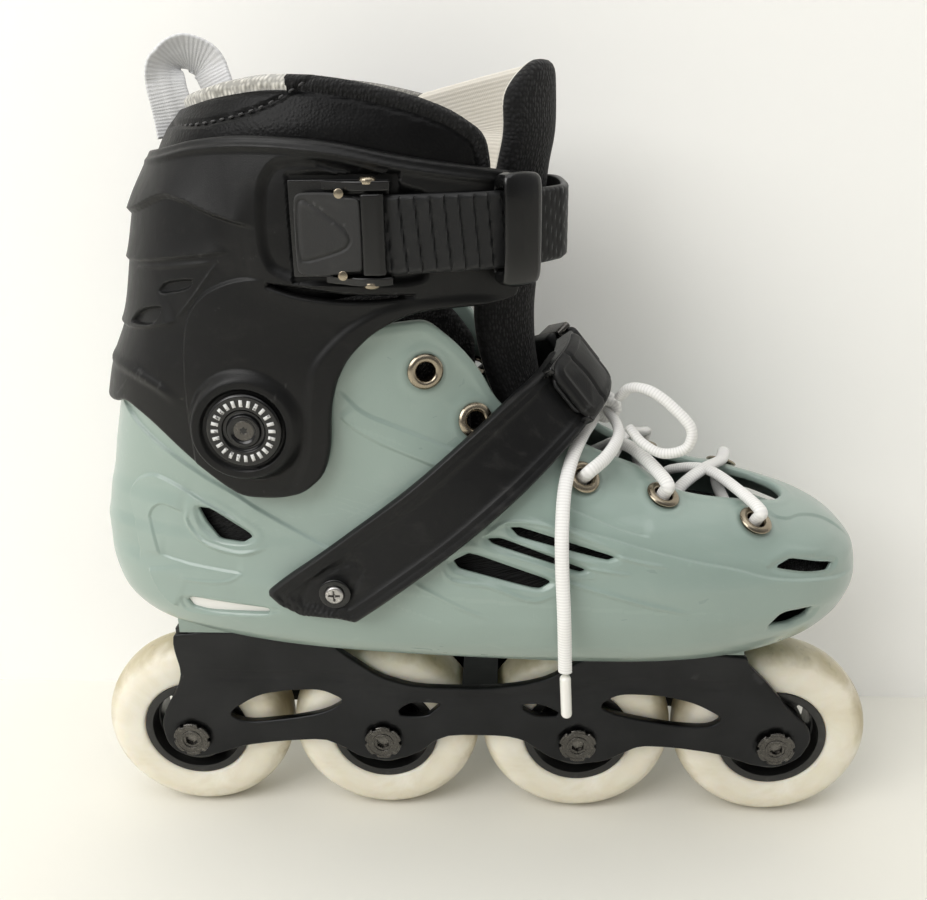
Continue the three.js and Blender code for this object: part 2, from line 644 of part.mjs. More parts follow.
cuff = cut(cuff, cuffInside);
[-1, 1].forEach((side) => {
  cuff = cut(
    cuff,
    pivotDisc(PIVOT_CAP_RADIUS + 0.7, PIVOT_SEAT_Y, 70, side),
    pivotDisc(5.6, 30, 70, side, 16),
  );
});
const cuffSlit = [[-67, 238], [-56, 236.6], [-38, 233.6], [-14, 233.2], [-38, 231.6], [-56, 234]];
cuff = cut(
  cuff.intersect(sidePrism(cuffSide, -80, 80)),
  sidePrism(cuffSlit, -80, -20),
  sidePrism(cuffSlit, 20, 80),
  box([-60, -70, 237], [-21, -POCKET_FLOOR, 272.5]),
);
place('cuff', cuff, 'blackPlastic');

// Pivot bolts: a flat cap outside and a shank through the cuff into the shell.
[['right', -1], ['left', 1]].forEach(([word, side]) => {
  const cap = PIVOT_SEAT_Y + GAP;
  const profile = [
    [0, 42.6], [5, 42.6], [5, cap], [PIVOT_CAP_RADIUS, cap], [PIVOT_CAP_RADIUS, cap + 1.4],
    [PIVOT_CAP_RADIUS - 1.2, cap + 2.2], [0, cap + 2.2],
  ];
  const centre = [CUFF_PIVOT.x, 0, CUFF_PIVOT.z];
  place(`pivot_bolt_${word}`, turned(profile, 18, centre, [0, side, 0]), 'blackPlastic');
});

// Cuff buckle: base with two cheeks, hinged lever, toothed ladder strap and keeper.
const base = join(
  box([-56, -POCKET_FLOOR - 1.6, 240], [-25, -POCKET_FLOOR - GAP, 269.5]),
  box([-38, -57, 266.4], [-25, -POCKET_FLOOR - 1, 269.5]),
  box([-38, -57, 237.9], [-25, -POCKET_FLOOR - 1, 240.6]),
);
place('cuff_buckle_base', base, 'darkSteel');
const leverPlan = [
  [-53.5, -54.9], [-31.6, -54.5], [-30, -54.9], [-29.7, -56.2], [-31, -57], [-52.6, -57.3],
];
place('cuff_buckle_lever', topPrism(leverPlan, 241, 266), 'buckle');

function ladderPoint(x, side, offset) {
  return [x, side * halfWidthAt(x, LADDER_TOP + 4, offset)];
}
const ladderRoute = [
  [-44, -52.6], [-24, -52.6],
  ...[-12, 0, 9, 16, 22, 26, 28.6].map((x) => ladderPoint(x, -1, LADDER_OFFSET)),
  ...[28.6, 26, 22, 16, 9, 0, -12, -24, -34].map((x) => ladderPoint(x, 1, LADDER_OFFSET)),
];
const ladderPath = smoothPath(ladderRoute.map(([x, y]) => [x, y, 0]), 62);
const ladderInner = [];
const ladderOuter = [];
ladderPath.forEach((point, i) => {
  const before = ladderPath[Math.max(0, i - 1)];
  const after = ladderPath[Math.min(ladderPath.length - 1, i + 1)];
  const along = after.clone().sub(before).normalize();
  const tooth = i < 44 && i % 2 === 0 ? 1.4 : 0.9;
  ladderInner.push([point.x - along.y, point.y + along.x]);
  ladderOuter.push([point.x + along.y * tooth, point.y - along.x * tooth]);
});
const ladder = topPrism([...ladderInner, ...ladderOuter.reverse()], LADDER_BOTTOM, LADDER_TOP);
const ladderScrewAt = surfacePoint(-26, 253, 1, LADDER_OFFSET);
const ladderScrewAxis = surfaceNormal(-26, 253, 1).setZ(0).normalize().toArray();
place('cuff_ladder_strap', ladder.subtract(cylinder(2.7, ladderScrewAt, ladderScrewAxis, -8, 8, 12)), 'blackPlastic');

const screwProfile = (depth, radius = 2.1) => [
  [0, -depth], [radius, -depth], [radius, 0], [4, 0], [3.8, 1.3], [2.6, 2], [0, 2],
];
const ladderScrewSeat = ladderScrewAt.map((value, i) => value + ladderScrewAxis[i] * (1.9 + GAP));
place('cuff_ladder_screw', turned(screwProfile(3), 12, ladderScrewSeat, ladderScrewAxis), 'steel');

// Keeper: a bridge over the ladder strap near the end of the outer cuff arm.
const keeperX = 12;
const keeperSeat = ladderPoint(keeperX, -1, CUFF_OUTER + GAP);
const keeperAhead = ladderPoint(keeperX + 0.5, -1, CUFF_OUTER + GAP);
const keeperAlong = new THREE.Vector3(keeperAhead[0] - keeperSeat[0], keeperAhead[1] - keeperSeat[1], 0).normalize();
const keeperOut = new THREE.Vector3(keeperAlong.y, -keeperAlong.x, 0);
const keeperBox = (half, out0, out1, z0, z1) => topPrism(
  [[-half, out0], [half, out0], [half, out1], [-half, out1]].map(([a, o]) => [
    keeperSeat[0] + keeperAlong.x * a + keeperOut.x * o,
    keeperSeat[1] + keeperAlong.y * a + keeperOut.y * o,
  ]),
  z0,
  z1,
);
const keeper = cut(
  keeperBox(6.5, 0.7, 7, LADDER_BOTTOM - 4.5, LADDER_TOP + 4.5),
  keeperBox(9, -2, 4.6, LADDER_BOTTOM - 0.5, LADDER_TOP + 0.5),
);
place('cuff_keeper', keeper, 'blackPlastic');

// Instep straps: a padded band on each side, screwed low on the shell.
const STRAP_ACROSS = [-0.62, 0, 0.785];
const STRAP_THICKNESS = 4;
const STRAP_SCREW = [-49, 130.5];
const STRAP_LIFT = 4.1;
const strapStations = [[-70, 114], [-58, 124], [-47, 132], [-35.5, 140.5], [-14, 157], [5, 173]];
const strapRoute = (side) => [
  ...strapStations.map(([x, z]) => surfacePoint(x, z, side, STRAP_LIFT)),
  [19, side * 36.5, 184.6],
  [29, side * 26, 191.8],
  [35, side * 13, 196],
];
const strapAcross = (side) => [
  ...strapStations.map(([x, z]) => {
    const [ax, , az] = STRAP_ACROSS;
    const upper = new THREE.Vector3(...surfacePoint(x + 13 * ax, z + 13 * az, side));
    const lower = new THREE.Vector3(...surfacePoint(x - 13 * ax, z - 13 * az, side));
    return upper.sub(lower).normalize().toArray();
  }),
  ...Array(3).fill(STRAP_ACROSS),
];
const STRAP_TOP = [37, 0, 197.8];
const STRAP_HALF = 13.8;
const strapFoot = [[-80, 135], [-64.5, 119.5], [-44, 119.5], [-20, 125], [30, 100], [-90, 90]];

// Points moved away from the boot, square to the band that runs through them.
function lifted(points, distance) {
  const wide = new THREE.Vector3(...STRAP_ACROSS).normalize();
  const vectors = points.map((p) => new THREE.Vector3(...p));
  return vectors.map((point, i) => {
    const before = vectors[Math.max(0, i - 1)];
    const after = vectors[Math.min(vectors.length - 1, i + 1)];
    const out = after.clone().sub(before).cross(wide).normalize();
    const sign = out.z + Math.sign(point.y) * out.y * 2 > 0 ? 1 : -1;
    return point.clone().addScaledVector(out, sign * distance).toArray();
  });
}
const strapArch = [...strapRoute(-1).slice(5), STRAP_TOP, ...strapRoute(1).slice(5).reverse()];
const archPart = (distance, from, to) => lifted(strapArch, distance).slice(from, to);
const alongStrap = (points, shift) => points.map(([x, y, z]) => [
  x + STRAP_ACROSS[0] * shift, y, z + STRAP_ACROSS[2] * shift,
]);
const hoodLine = archPart(5.7, 2, 5);
const cheekLine = archPart(3.1, 2, 5);
const strapHole = (side) => cylinder(2.7, [STRAP_SCREW[0], side * 30, STRAP_SCREW[1]], [0, side, 0], 0, 40, 12);
const strapBody = (side) => cut(
  band(strapRoute(side), strapAcross(side), STRAP_HALF, STRAP_THICKNESS, 16),
  strapHole(side),
  sidePrism(strapFoot, -80, 80),
);
place('instep_strap_right', join(
  strapBody(-1),
  band(hoodLine, STRAP_ACROSS, 12.6, 2.4, 4),
  band(alongStrap(cheekLine, 11), STRAP_ACROSS, 1.6, 7.2, 4),
  band(alongStrap(cheekLine, -11), STRAP_ACROSS, 1.6, 7.2, 4),
), 'blackPlastic');
place('instep_strap_left', strapBody(1), 'blackPlastic');
const washerScrew = [
  [0, -8], [2.1, -8], [2.1, 0], [5.6, 0], [5.6, 1.1], [4, 1.4], [3.7, 2.6], [0, 2.9],
];
[['right', -1], ['left', 1]].forEach(([word, side]) => {
  const [x, , z] = surfacePoint(...STRAP_SCREW, side);
  place(`instep_screw_${word}`, turned(washerScrew, 14, [x, side * 54.4, z], [0, side, 0]), 'steel');
});

// Instep ladder: a thin strip from under the hood to the buckle on the far side.
const ladderArch = [...archPart(3.2, 2, 5), ...archPart(5.7, 5, 7)];
place('instep_ladder', band(ladderArch, STRAP_ACROSS, 8.5, 1.6, 12), 'blackPlastic');
const seatLine = archPart(3.8, 5, 7);
const wallLine = archPart(6.1, 5, 7);
place('instep_buckle_base', join(
  band(seatLine, STRAP_ACROSS, 12.2, 1.3, 2),
  band(alongStrap(wallLine, 11), STRAP_ACROSS, 1.3, 6.4, 2),
  band(alongStrap(wallLine, -11), STRAP_ACROSS, 1.3, 6.4, 2),
), 'darkSteel');
place('instep_buckle_lever', band(archPart(8.9, 5, 7), STRAP_ACROSS, 9.2, 3.2, 2), 'buckle');

// Laces: crossed through the three lower pairs of eyelets to a knot under the straps.
const LACE_RADIUS = 2.4;
const KNOT = [48.5, 0, 181.5];
const laceSeat = (index, side, height) => {
  const { point, normal } = eyeletSeat(index, side);
  return point.map((value, i) => value + normal.getComponent(i) * height);
};
const laceThrough = (index, side) => [
  laceSeat(index, side, -6.6), laceSeat(index, side, -2.5), laceSeat(index, side, 2), laceSeat(index, side, 5),
];
const crossing = (side) => [
  [99, -side * 8, 137],
  ...laceThrough(4, -side),
  [97, -side * 16, 154],
  [87, 0, 156.5],
  [76.5, side * 9.5, 152.5],
  [70.5, side * 17, 146],
  ...laceThrough(3, side),
  [65, side * 20.5, 164.2],
  [57.5, side * 8, 168],
  [52, -side * 4.5, 165.5],
  [48, -side * 12.5, 160.6],
  [43.5, -side * 19.5, 156.6],
  ...laceThrough(2, -side),
  [46, -side * 30, 172.5],
  [51.5, -side * 17, 177],
  KNOT,
];
const laceBar = [[99, -10, 136.8], [99.5, 0, 136.3], [99, 10, 136.8]];
const knot = turned([[0, -6], [3.6, -5.2], [5.6, 0], [3.6, 5.2], [0, 6]], 10, KNOT, [0, 1, 0]);
place('lacing', join(
  cord(crossing(1), LACE_RADIUS, 38, 6),
  cord(crossing(-1), LACE_RADIUS, 38, 6),
  cord(laceBar, LACE_RADIUS, 4, 6),
  knot,
), 'lace');
const laceLoop = [
  [52.5, -7, 187.5], [55.5, -10.5, 192], [62, -15.5, 192.5], [70, -19.5, 187.5], [76.5, -23, 180], [75, -24, 173.8],
  [67, -22.5, 171], [60, -18, 173.5], [56, -12, 177],
];
const besideShell = (x, z, lift) => {
  const normal = surfaceNormal(x, z, -1);
  return surfacePoint(x, z, -1).map((value, i) => value + normal.getComponent(i) * lift);
};
const tail = [
  [43, -7.5, 179.8], [41, -14.5, 179.4], besideShell(36.2, 175.6, 3.2),
  besideShell(32, 170, 3.4), besideShell(29.8, 163, 3.8), besideShell(29.4, 152, 4), besideShell(29.8, 141, 4), [30.8, -56, 122],
  [31.6, -56.3, 101],
];
const aglet = [[31.65, -56.3, 99.6], [32.6, -56.5, 82]];
place('lace_loop', cord(laceLoop, LACE_RADIUS, 18, 8), 'lace');
[['right', (p) => p], ['left', mirrored]].forEach(([word, side]) => {
  place(`lace_tail_${word}`, cord(side(tail), LACE_RADIUS, 18, 8), 'lace');
  place(`lace_aglet_${word}`, cord(side(aglet), 2.1, 2, 8), 'lace');
});

// Pull loop: webbing sewn to the back of the collar.
const loopLine = [
  [-109.8, 0, 281], [-111.5, 0, 290], [-113, 0, 300], [-111, 0, 308], [-103, 0, 312], [-94, 0, 311],
  [-87.5, 0, 306], [-85.5, 0, 299],
];
place('pull_loop', band(loopLine, [0, 1, 0], 8, 1.6, 12), 'lace');

export default group;
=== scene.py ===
"""Inline skate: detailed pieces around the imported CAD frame.

Lengths in this file are millimetres in the frame's axes (+X toe, -Y outer side, +Z up);
meshes are scaled to metres when they are made.
"""
import math

import bpy
import numpy as np
from mathutils import Matrix, Vector


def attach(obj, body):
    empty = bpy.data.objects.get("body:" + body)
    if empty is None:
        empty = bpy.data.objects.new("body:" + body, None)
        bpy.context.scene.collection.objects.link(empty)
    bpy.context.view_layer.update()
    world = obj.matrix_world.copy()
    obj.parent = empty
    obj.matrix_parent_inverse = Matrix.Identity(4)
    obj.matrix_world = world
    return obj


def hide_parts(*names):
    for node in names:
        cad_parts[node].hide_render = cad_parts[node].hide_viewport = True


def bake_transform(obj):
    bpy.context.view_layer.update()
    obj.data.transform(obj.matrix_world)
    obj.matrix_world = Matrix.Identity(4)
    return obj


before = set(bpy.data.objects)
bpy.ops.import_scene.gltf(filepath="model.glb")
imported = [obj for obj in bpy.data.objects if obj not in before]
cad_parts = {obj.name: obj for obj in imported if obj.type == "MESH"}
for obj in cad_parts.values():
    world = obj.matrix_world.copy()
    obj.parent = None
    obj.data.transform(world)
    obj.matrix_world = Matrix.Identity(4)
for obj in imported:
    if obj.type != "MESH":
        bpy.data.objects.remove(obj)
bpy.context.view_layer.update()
MM = 0.001
PI = math.pi

# ------------------------------------------------------------------ dimensions
WHEEL_RADIUS, WHEEL_PITCH = 40, 81
AXLE_X = [-1.5 * WHEEL_PITCH, -0.5 * WHEEL_PITCH, 0.5 * WHEEL_PITCH, 1.5 * WHEEL_PITCH]
FRAME_INNER, FRAME_OUTER = 12.9, 16.5
SHELL_WALL, CUFF_INNER, CUFF_OUTER = 3.4, 1.0, 4.4
PIVOT_X, PIVOT_Z, PIVOT_SEAT = -76, 190, 51.4
LADDER_OFFSET, LADDER_BOTTOM, LADDER_TOP = 6.1, 241, 265
POCKET_FLOOR = 49.6
LACE_RADIUS = 2.4

# z, heel x, toe x, half width, x of the widest point, squareness of heel and toe
SECTIONS = np.array([
    [84, 26, 108, 20, 66, 2.2, 2.2], [88, -14, 122, 29, 60, 2.4, 2.2],
    [93, -58, 132, 37, 54, 2.6, 2.2], [99, -118, 140, 43.5, 50, 2.8, 2.2],
    [107, -137, 145.5, 48, 47, 2.8, 2.25], [117, -143.5, 148, 50.3, 45, 2.8, 2.3],
    [127, -145.5, 146.5, 50.5, 42, 2.8, 2.3], [135, -146, 141, 49.3, 36, 2.7, 2.3],
    [142, -146, 131, 48, 28, 2.7, 2.2], [148, -145, 114, 46.8, 18, 2.6, 2.2],
    [154, -143.7, 88, 45.7, 6, 2.6, 2.2], [162, -141.5, 66, 44.8, -8, 2.5, 2.1],
    [171, -139.5, 50, 44.5, -24, 2.5, 2.1], [181, -137, 38, 45, -40, 2.4, 2.1],
    [193, -134, 30, 46, -54, 2.3, 2.1], [206, -130, 26, 46.5, -60, 2.3, 2.1],
    [222, -123, 24.5, 46, -60, 2.3, 2.2], [240, -119.5, 25, 46, -54, 2.3, 2.3],
    [260, -115.5, 26, 46.5, -48, 2.3, 2.3], [280, -106, 27, 47, -42, 2.2, 2.3],
    [304, -93, 27, 47, -36, 2.2, 2.3]], float)


# ---------------------------------------------------------------- boot surface
def section_tangents():
    z = SECTIONS[:, 0]
    grade = np.diff(SECTIONS, axis=0) / np.diff(z)[:, None]
    inner_a, inner_b = grade[:-1], grade[1:]
    both = inner_a * inner_b
    mean = np.where(both > 0, 2 * both / np.where(both > 0, inner_a + inner_b, 1), 0)
    return np.vstack([grade[:1], mean, grade[-1:]])


TANGENTS = section_tangents()


def section_at(z):
    """Section values (heel, toe, half, middle, heel power, toe power) at heights z."""
    z = np.clip(np.asarray(z, float), SECTIONS[0, 0], SECTIONS[-1, 0])
    i = np.clip(np.searchsorted(SECTIONS[:, 0], z, side="right") - 1, 0, len(SECTIONS) - 2)
    h = SECTIONS[i + 1, 0] - SECTIONS[i, 0]
    t = ((z - SECTIONS[i, 0]) / h)[..., None]
    h = h[..., None]
    row = ((2 * t**3 - 3 * t**2 + 1) * SECTIONS[i] + (t**3 - 2 * t**2 + t) * h * TANGENTS[i]
           + (3 * t**2 - 2 * t**3) * SECTIONS[i + 1] + (t**3 - t**2) * h * TANGENTS[i + 1])
    return [row[..., c] for c in range(1, 7)]


def toe_swing(x):
    return 5 * np.clip((x - 20) / 128, 0, 1) ** 2


def boot_ring(z, offset, count, shares=None):
    """count points evenly along the boot's outline at height z, from the toe round."""
    heel, toe, half, middle, heel_power, toe_power = section_at(z)
    a = np.linspace(0, 2 * PI, 1441)
    c, s = np.cos(a), np.sin(a)
    power = np.where(c >= 0, 2 / toe_power, 2 / heel_power)
    reach = np.where(c >= 0, toe - middle + offset, middle - heel + offset)
    x = middle + np.sign(c) * reach * np.abs(c) ** power
    y = np.sign(s) * (half + offset) * np.abs(s) ** power
    y = y + toe_swing(x)
    run = np.concatenate([[0], np.cumsum(np.hypot(np.diff(x), np.diff(y)))])
    at = np.arange(count) / count * run[-1] if shares is None else shares * run[-1]
    return np.stack([np.interp(at, run, x), np.interp(at, run, y), np.full(len(at), float(z))], -1)


def half_width(x, z, offset=0.0):
    heel, toe, half, middle, heel_power, toe_power = section_at(z)
    ahead = x >= middle
    reach = np.where(ahead, toe - middle, middle - heel) + offset
    t = np.minimum(np.abs(x - middle) / reach, 1)
    power = np.where(ahead, toe_power, heel_power)
    return (half + offset) * (1 - t**power) ** (1 / power)


def surface_point(x, z, side, offset=0.0):
    return np.array([x, side * float(half_width(x, z, offset)) + float(toe_swing(x)), z], float)


def surface_normal(x, z, side):
    dx = float(half_width(x + 0.5, z) - half_width(x - 0.5, z))
    dz = float(half_width(x, z + 0.5) - half_width(x, z - 0.5))
    n = np.array([-dx, side, -dz])
    return n / np.linalg.norm(n)


def unit(v):
    v = np.asarray(v, float)
    return v / np.maximum(np.linalg.norm(v, axis=-1, keepdims=True), 1e-12)


def smooth(t):
    t = np.clip(t, 0, 1)
    return t * t * (3 - 2 * t)


# ------------------------------------------------------------------- polylines
def spline(points, step=1.0, count=None):
    """Centripetal Catmull-Rom through points, as evenly spaced samples."""
    p = np.asarray(points, float)
    if len(p) == 2:
        dense = p[0] + (p[1] - p[0]) * np.linspace(0, 1, 80)[:, None]
    else:
        p = np.vstack([2 * p[0] - p[1], p, 2 * p[-1] - p[-2]])
        rows = []
        for i in range(1, len(p) - 2):
            t = np.cumsum([0]
                          + [max(np.linalg.norm(p[i + k] - p[i + k - 1]), 1e-6) ** 0.5 for k in (0, 1, 2)])
            u = np.linspace(t[1], t[2], 40, endpoint=False)[:, None]
            a = [(t[k + 1] - u) / (t[k + 1] - t[k]) * p[i + k - 1] + (u - t[k]) / (t[k + 1] - t[k]) * p[i + k]
                 for k in (0, 1, 2)]
            b = [(t[k + 2] - u) / (t[k + 2] - t[k]) * a[k] + (u - t[k]) / (t[k + 2] - t[k]) * a[k + 1]
                 for k in (0, 1)]
            rows.append((t[2] - u) / (t[2] - t[1]) * b[0] + (u - t[1]) / (t[2] - t[1]) * b[1])
        dense = np.vstack(rows + [p[-2:-1]])
    run = np.concatenate([[0], np.cumsum(np.linalg.norm(np.diff(dense, axis=0), axis=1))])
    n = count or max(2, int(round(run[-1] / step)))
    at = np.linspace(0, run[-1], n + 1)
    return np.stack([np.interp(at, run, dense[:, k]) for k in range(dense.shape[1])], -1)


def length_of(path):
    return float(np.linalg.norm(np.diff(path, axis=0), axis=1).sum())


def rounded(outline, times=2, share=0.2):
    """Corners cut twice, so that an outline's corners turn gently."""
    p = np.asarray(outline, float)
    for _ in range(times):
        q = np.roll(p, -1, 0)
        p = np.stack([(1 - share) * p + share * q, share * p + (1 - share) * q], 1).reshape(-1, 2)
    return p


def to_line(points, line, closed=False):
    """Distance to a polyline, its side, the share along it, and the direction away from it."""
    p, line = np.asarray(points, float), np.asarray(line, float)
    a, b = (line, np.roll(line, -1, 0)) if closed else (line[:-1], line[1:])
    run = np.concatenate([[0], np.cumsum(np.linalg.norm(b - a, axis=1))])
    best = np.full(p.shape[:-1], 1e9)
    side, share, way = np.zeros(best.shape), np.zeros(best.shape), np.zeros(p.shape)
    for k in range(len(a)):
        d = b[k] - a[k]
        size = max(d @ d, 1e-12)
        t = np.clip(((p - a[k]) @ d) / size, 0, 1)
        off = p - a[k] - t[..., None] * d
        dist = np.sqrt((off**2).sum(-1))
        near = dist < best
        best = np.where(near, dist, best)
        side = np.where(near, np.sign(d[0] * (p[..., 1] - a[k, 1]) - d[1] * (p[..., 0] - a[k, 0])), side)
        share = np.where(near, (run[k] + t * (run[k + 1] - run[k])) / run[-1], share)
        way = np.where(near[..., None], off, way)
    return best, side, share, way / np.maximum(best, 1e-9)[..., None]


def inside(points, outline):
    p, o = np.asarray(points, float), np.asarray(outline, float)
    found = np.zeros(p.shape[:-1], bool)
    for a, b in zip(o, np.roll(o, -1, 0)):
        over = (a[1] > p[..., 1]) != (b[1] > p[..., 1])
        rise = b[1] - a[1] if abs(b[1] - a[1]) > 1e-12 else 1e-12
        found ^= over & (p[..., 0] < (b[0] - a[0]) * (p[..., 1] - a[1]) / rise + a[0])
    return found


def over_surface(distance, way, normals, axes):
    """A distance seen along one axis, turned into distance along the surface itself."""
    lean = way[..., 0] * normals[..., axes[0]] + way[..., 1] * normals[..., axes[1]]
    return distance / np.sqrt(np.clip(1 - lean**2, 0.09, 1))


def outline_field(points, normals, outline, axes=(0, 2)):
    """Distance along the surface to an outline seen along one axis: positive inside it."""
    flat = points[..., list(axes)]
    distance, _, _, way = to_line(flat, outline, closed=True)
    distance = over_surface(distance, way, normals, axes)
    return np.where(inside(flat, outline), distance, -distance)


def signed(points, outline):
    """Distance to a closed outline: positive inside, negative outside."""
    d = to_line(points, outline, closed=True)[0]
    return np.where(inside(points, outline), d, -d)


# ------------------------------------------------------------------ mesh tools
def split(values, triangles, field, level):
    """Cuts triangles where the field crosses a level. values holds one row for each vertex."""
    s = values[:, field] - level
    up = s > 0
    lone = up[triangles].sum(1)
    crossing = (lone == 1) | (lone == 2)
    if not crossing.any():
        return values, triangles
    t = triangles[crossing]
    state = up[t]
    odd = np.where((state.sum(1) == 1)[:, None], state, ~state).argmax(1)
    row = np.arange(len(t))
    a, b, c = t[row, odd], t[row, (odd + 1) % 3], t[row, (odd + 2) % 3]
    pairs = np.sort(np.stack([np.concatenate([a, a]), np.concatenate([b, c])], 1), axis=1)
    edges, index = np.unique(pairs, axis=0, return_inverse=True)
    index = index.reshape(-1) + len(values)
    s0, s1 = s[edges[:, 0]], s[edges[:, 1]]
    w = (s0 / (s0 - s1))[:, None]
    new = values[edges[:, 0]] * (1 - w) + values[edges[:, 1]] * w
    new[:, field] = level
    ab, ac = index[:len(t)], index[len(t):]
    made = [np.stack(x, 1) for x in ((a, ab, ac), (ab, b, c), (ab, c, ac))]
    return np.vstack([values, new]), np.vstack([triangles[~crossing], *made])


def grid_normals(points, wrap):
    pu = (np.roll(points, -1, 1) - np.roll(points, 1, 1)) if wrap else np.gradient(points, axis=1)
    pv = np.gradient(points, axis=0)
    return unit(np.cross(pu, pv))


def grid_triangles(rows, columns, wrap):
    r, c = np.meshgrid(np.arange(rows - 1), np.arange(columns if wrap else columns - 1), indexing="ij")
    a = (r * columns + c).ravel()
    b = (r * columns + (c + 1) % columns).ravel()
    d, e = a + columns, b + columns
    return np.vstack([np.stack([a, b, e], 1), np.stack([a, e, d], 1)])


def halve(params, triangles, near, size):
    """Splits every edge that comes within a size of a line, with no gaps left between triangles."""
    pairs = np.sort(triangles[:, [0, 1, 1, 2, 2, 0]].reshape(-1, 2), axis=1)
    edges, index = np.unique(pairs, axis=0, return_inverse=True)
    cut = near[edges].min(1) < size
    middle = np.full(len(edges), -1)
    middle[cut] = len(params) + np.arange(cut.sum())
    params = np.vstack([params, params[edges[cut]].mean(1)])
    m = middle[index.reshape(-1, 3)]
    count = (m >= 0).sum(1)
    out = [triangles[count == 0]]

    def turned(pick, first):
        row = np.arange(pick.sum())[:, None]
        order = (first[:, None] + np.arange(3)) % 3
        return triangles[pick][row, order], m[pick][row, order]
    t, k = turned(count == 1, (m[count == 1] >= 0).argmax(1))
    out += [np.stack([t[:, 0], k[:, 0], t[:, 2]], 1), np.stack([k[:, 0], t[:, 1], t[:, 2]], 1)]
    t, k = turned(count == 2, (m[count == 2] < 0).argmax(1))
    out += [np.stack([t[:, 0], t[:, 1], k[:, 1]], 1), np.stack([t[:, 0], k[:, 1], k[:, 2]], 1),
            np.stack([k[:, 2], k[:, 1], t[:, 2]], 1)]
    t, k = triangles[count == 3], m[count == 3]
    out += [np.stack([t[:, 0], k[:, 0], k[:, 2]], 1), np.stack([k[:, 0], t[:, 1], k[:, 1]], 1),
            np.stack([k[:, 2], k[:, 1], t[:, 2]], 1), k]
    return params, np.vstack(out)


def fine_sheet(grid, fields_at, wall, cuts, height_of, group_of=None, edge=1.3, coarse=2, rounds=2, size=3.6):
    """A closed sheet round the boot: coarse where it is plain, fine along the lines of its fields.

    fields_at(points, normals) gives rows of fields, the first being what is kept (over 0).
    """
    rows, count = grid.shape[:2]
    normals = grid_normals(grid, True)
    both = np.concatenate([grid, normals], -1)
    r = np.unique(np.append(np.arange(0, rows - 1, coarse), rows - 1))
    c = np.unique(np.append(np.arange(0, count, coarse), count))
    rr, cc = np.meshgrid(r, c, indexing="ij")
    params = np.stack([rr.ravel(), cc.ravel()], 1).astype(float)
    triangles = grid_triangles(len(r), len(c), False)

    def weights(t):
        return np.stack([-t**3 + 2 * t**2 - t, 3 * t**3 - 5 * t**2 + 2, -3 * t**3 + 4 * t**2 + t,
                         t**3 - t**2], 1) / 2

    def look(params):
        i = np.clip(params.astype(int), 0, [rows - 2, count])
        down, along = weights(params[:, 0] - i[:, 0]), weights(params[:, 1] - i[:, 1])
        v = np.zeros((len(params), 6))
        for p in range(4):
            for q in range(4):
                cell = both[np.clip(i[:, 0] + p - 1, 0, rows - 1), (i[:, 1] + q - 1) % count]
                v += cell * (down[:, p] * along[:, q])[:, None]
        return v[:, :3], unit(v[:, 3:])
    for _ in range(rounds):
        points, around = look(params)
        fields = fields_at(points, around)
        away = np.abs(fields).min(1)
        params, triangles = halve(params, triangles, np.where(fields[:, 0] < -size, 99, away), size)
        size /= 2
    params[:, 1] = np.where(params[:, 1] >= count, params[:, 1] - count, params[:, 1])
    params, index = np.unique(np.round(params, 6), axis=0, return_inverse=True)
    triangles = index.reshape(-1)[triangles]
    points, around = look(params)
    fields = fields_at(points, around)
    spacing = np.linalg.norm(np.diff(grid[:, :2], axis=1), axis=-1).mean()
    heights = np.concatenate([[0], np.cumsum(np.linalg.norm(np.diff(grid[:, count // 4], axis=0), axis=-1))])
    uv = (params[:, 1] * spacing, np.interp(params[:, 0], np.arange(rows), heights))
    values = np.column_stack([points, around, fields[:, 0], np.zeros(len(points)), np.zeros(len(points)), *uv,
                              fields])
    return close_sheet(values, triangles, wall, edge, cuts, height_of, group_of)


def slab(points, keep, wall, raise_by=0.0, edge=None, wrap=False, inner=0.0, normals=None,
         lines=(), uv=None, flip=False, groups=None, group_of=None):
    """A closed sheet of thickness wall whose outer face is a grid of points, kept where keep > 0.

    lines is a list of (grid field, level) along which the triangles are cut, so that a relief's
    corners are crisp. Returns vertices, triangles, uv and a group number for each triangle.
    """
    shape = points.shape[:2]
    edge = wall / 2 if edge is None else edge
    n = grid_normals(points, wrap) if normals is None else normals
    n = -n if flip else n
    if uv is None:
        step_u = np.linalg.norm(np.diff(points, axis=1), axis=-1)
        step_v = np.linalg.norm(np.diff(points, axis=0), axis=-1)
        uv = (np.concatenate([np.zeros((shape[0], 1)), np.cumsum(step_u, 1)], 1),
              np.concatenate([np.zeros((1, shape[1])), np.cumsum(step_v, 0)], 0))
    fields = [points[..., 0], points[..., 1], points[..., 2], n[..., 0], n[..., 1], n[..., 2],
              keep, np.broadcast_to(raise_by, shape), np.broadcast_to(inner, shape), uv[0], uv[1]]
    fields += ([np.broadcast_to(f, shape) for f, _ in lines]
               + [np.broadcast_to(0 if groups is None else groups, shape)])
    values = np.stack([np.asarray(f, float) for f in fields], -1).reshape(-1, len(fields))
    triangles = grid_triangles(*shape, wrap)
    if flip:
        triangles = triangles[:, ::-1]
    return close_sheet(values, triangles, wall, edge, [(k, level) for k, (_, level) in enumerate(lines)],
                       group_of=group_of)


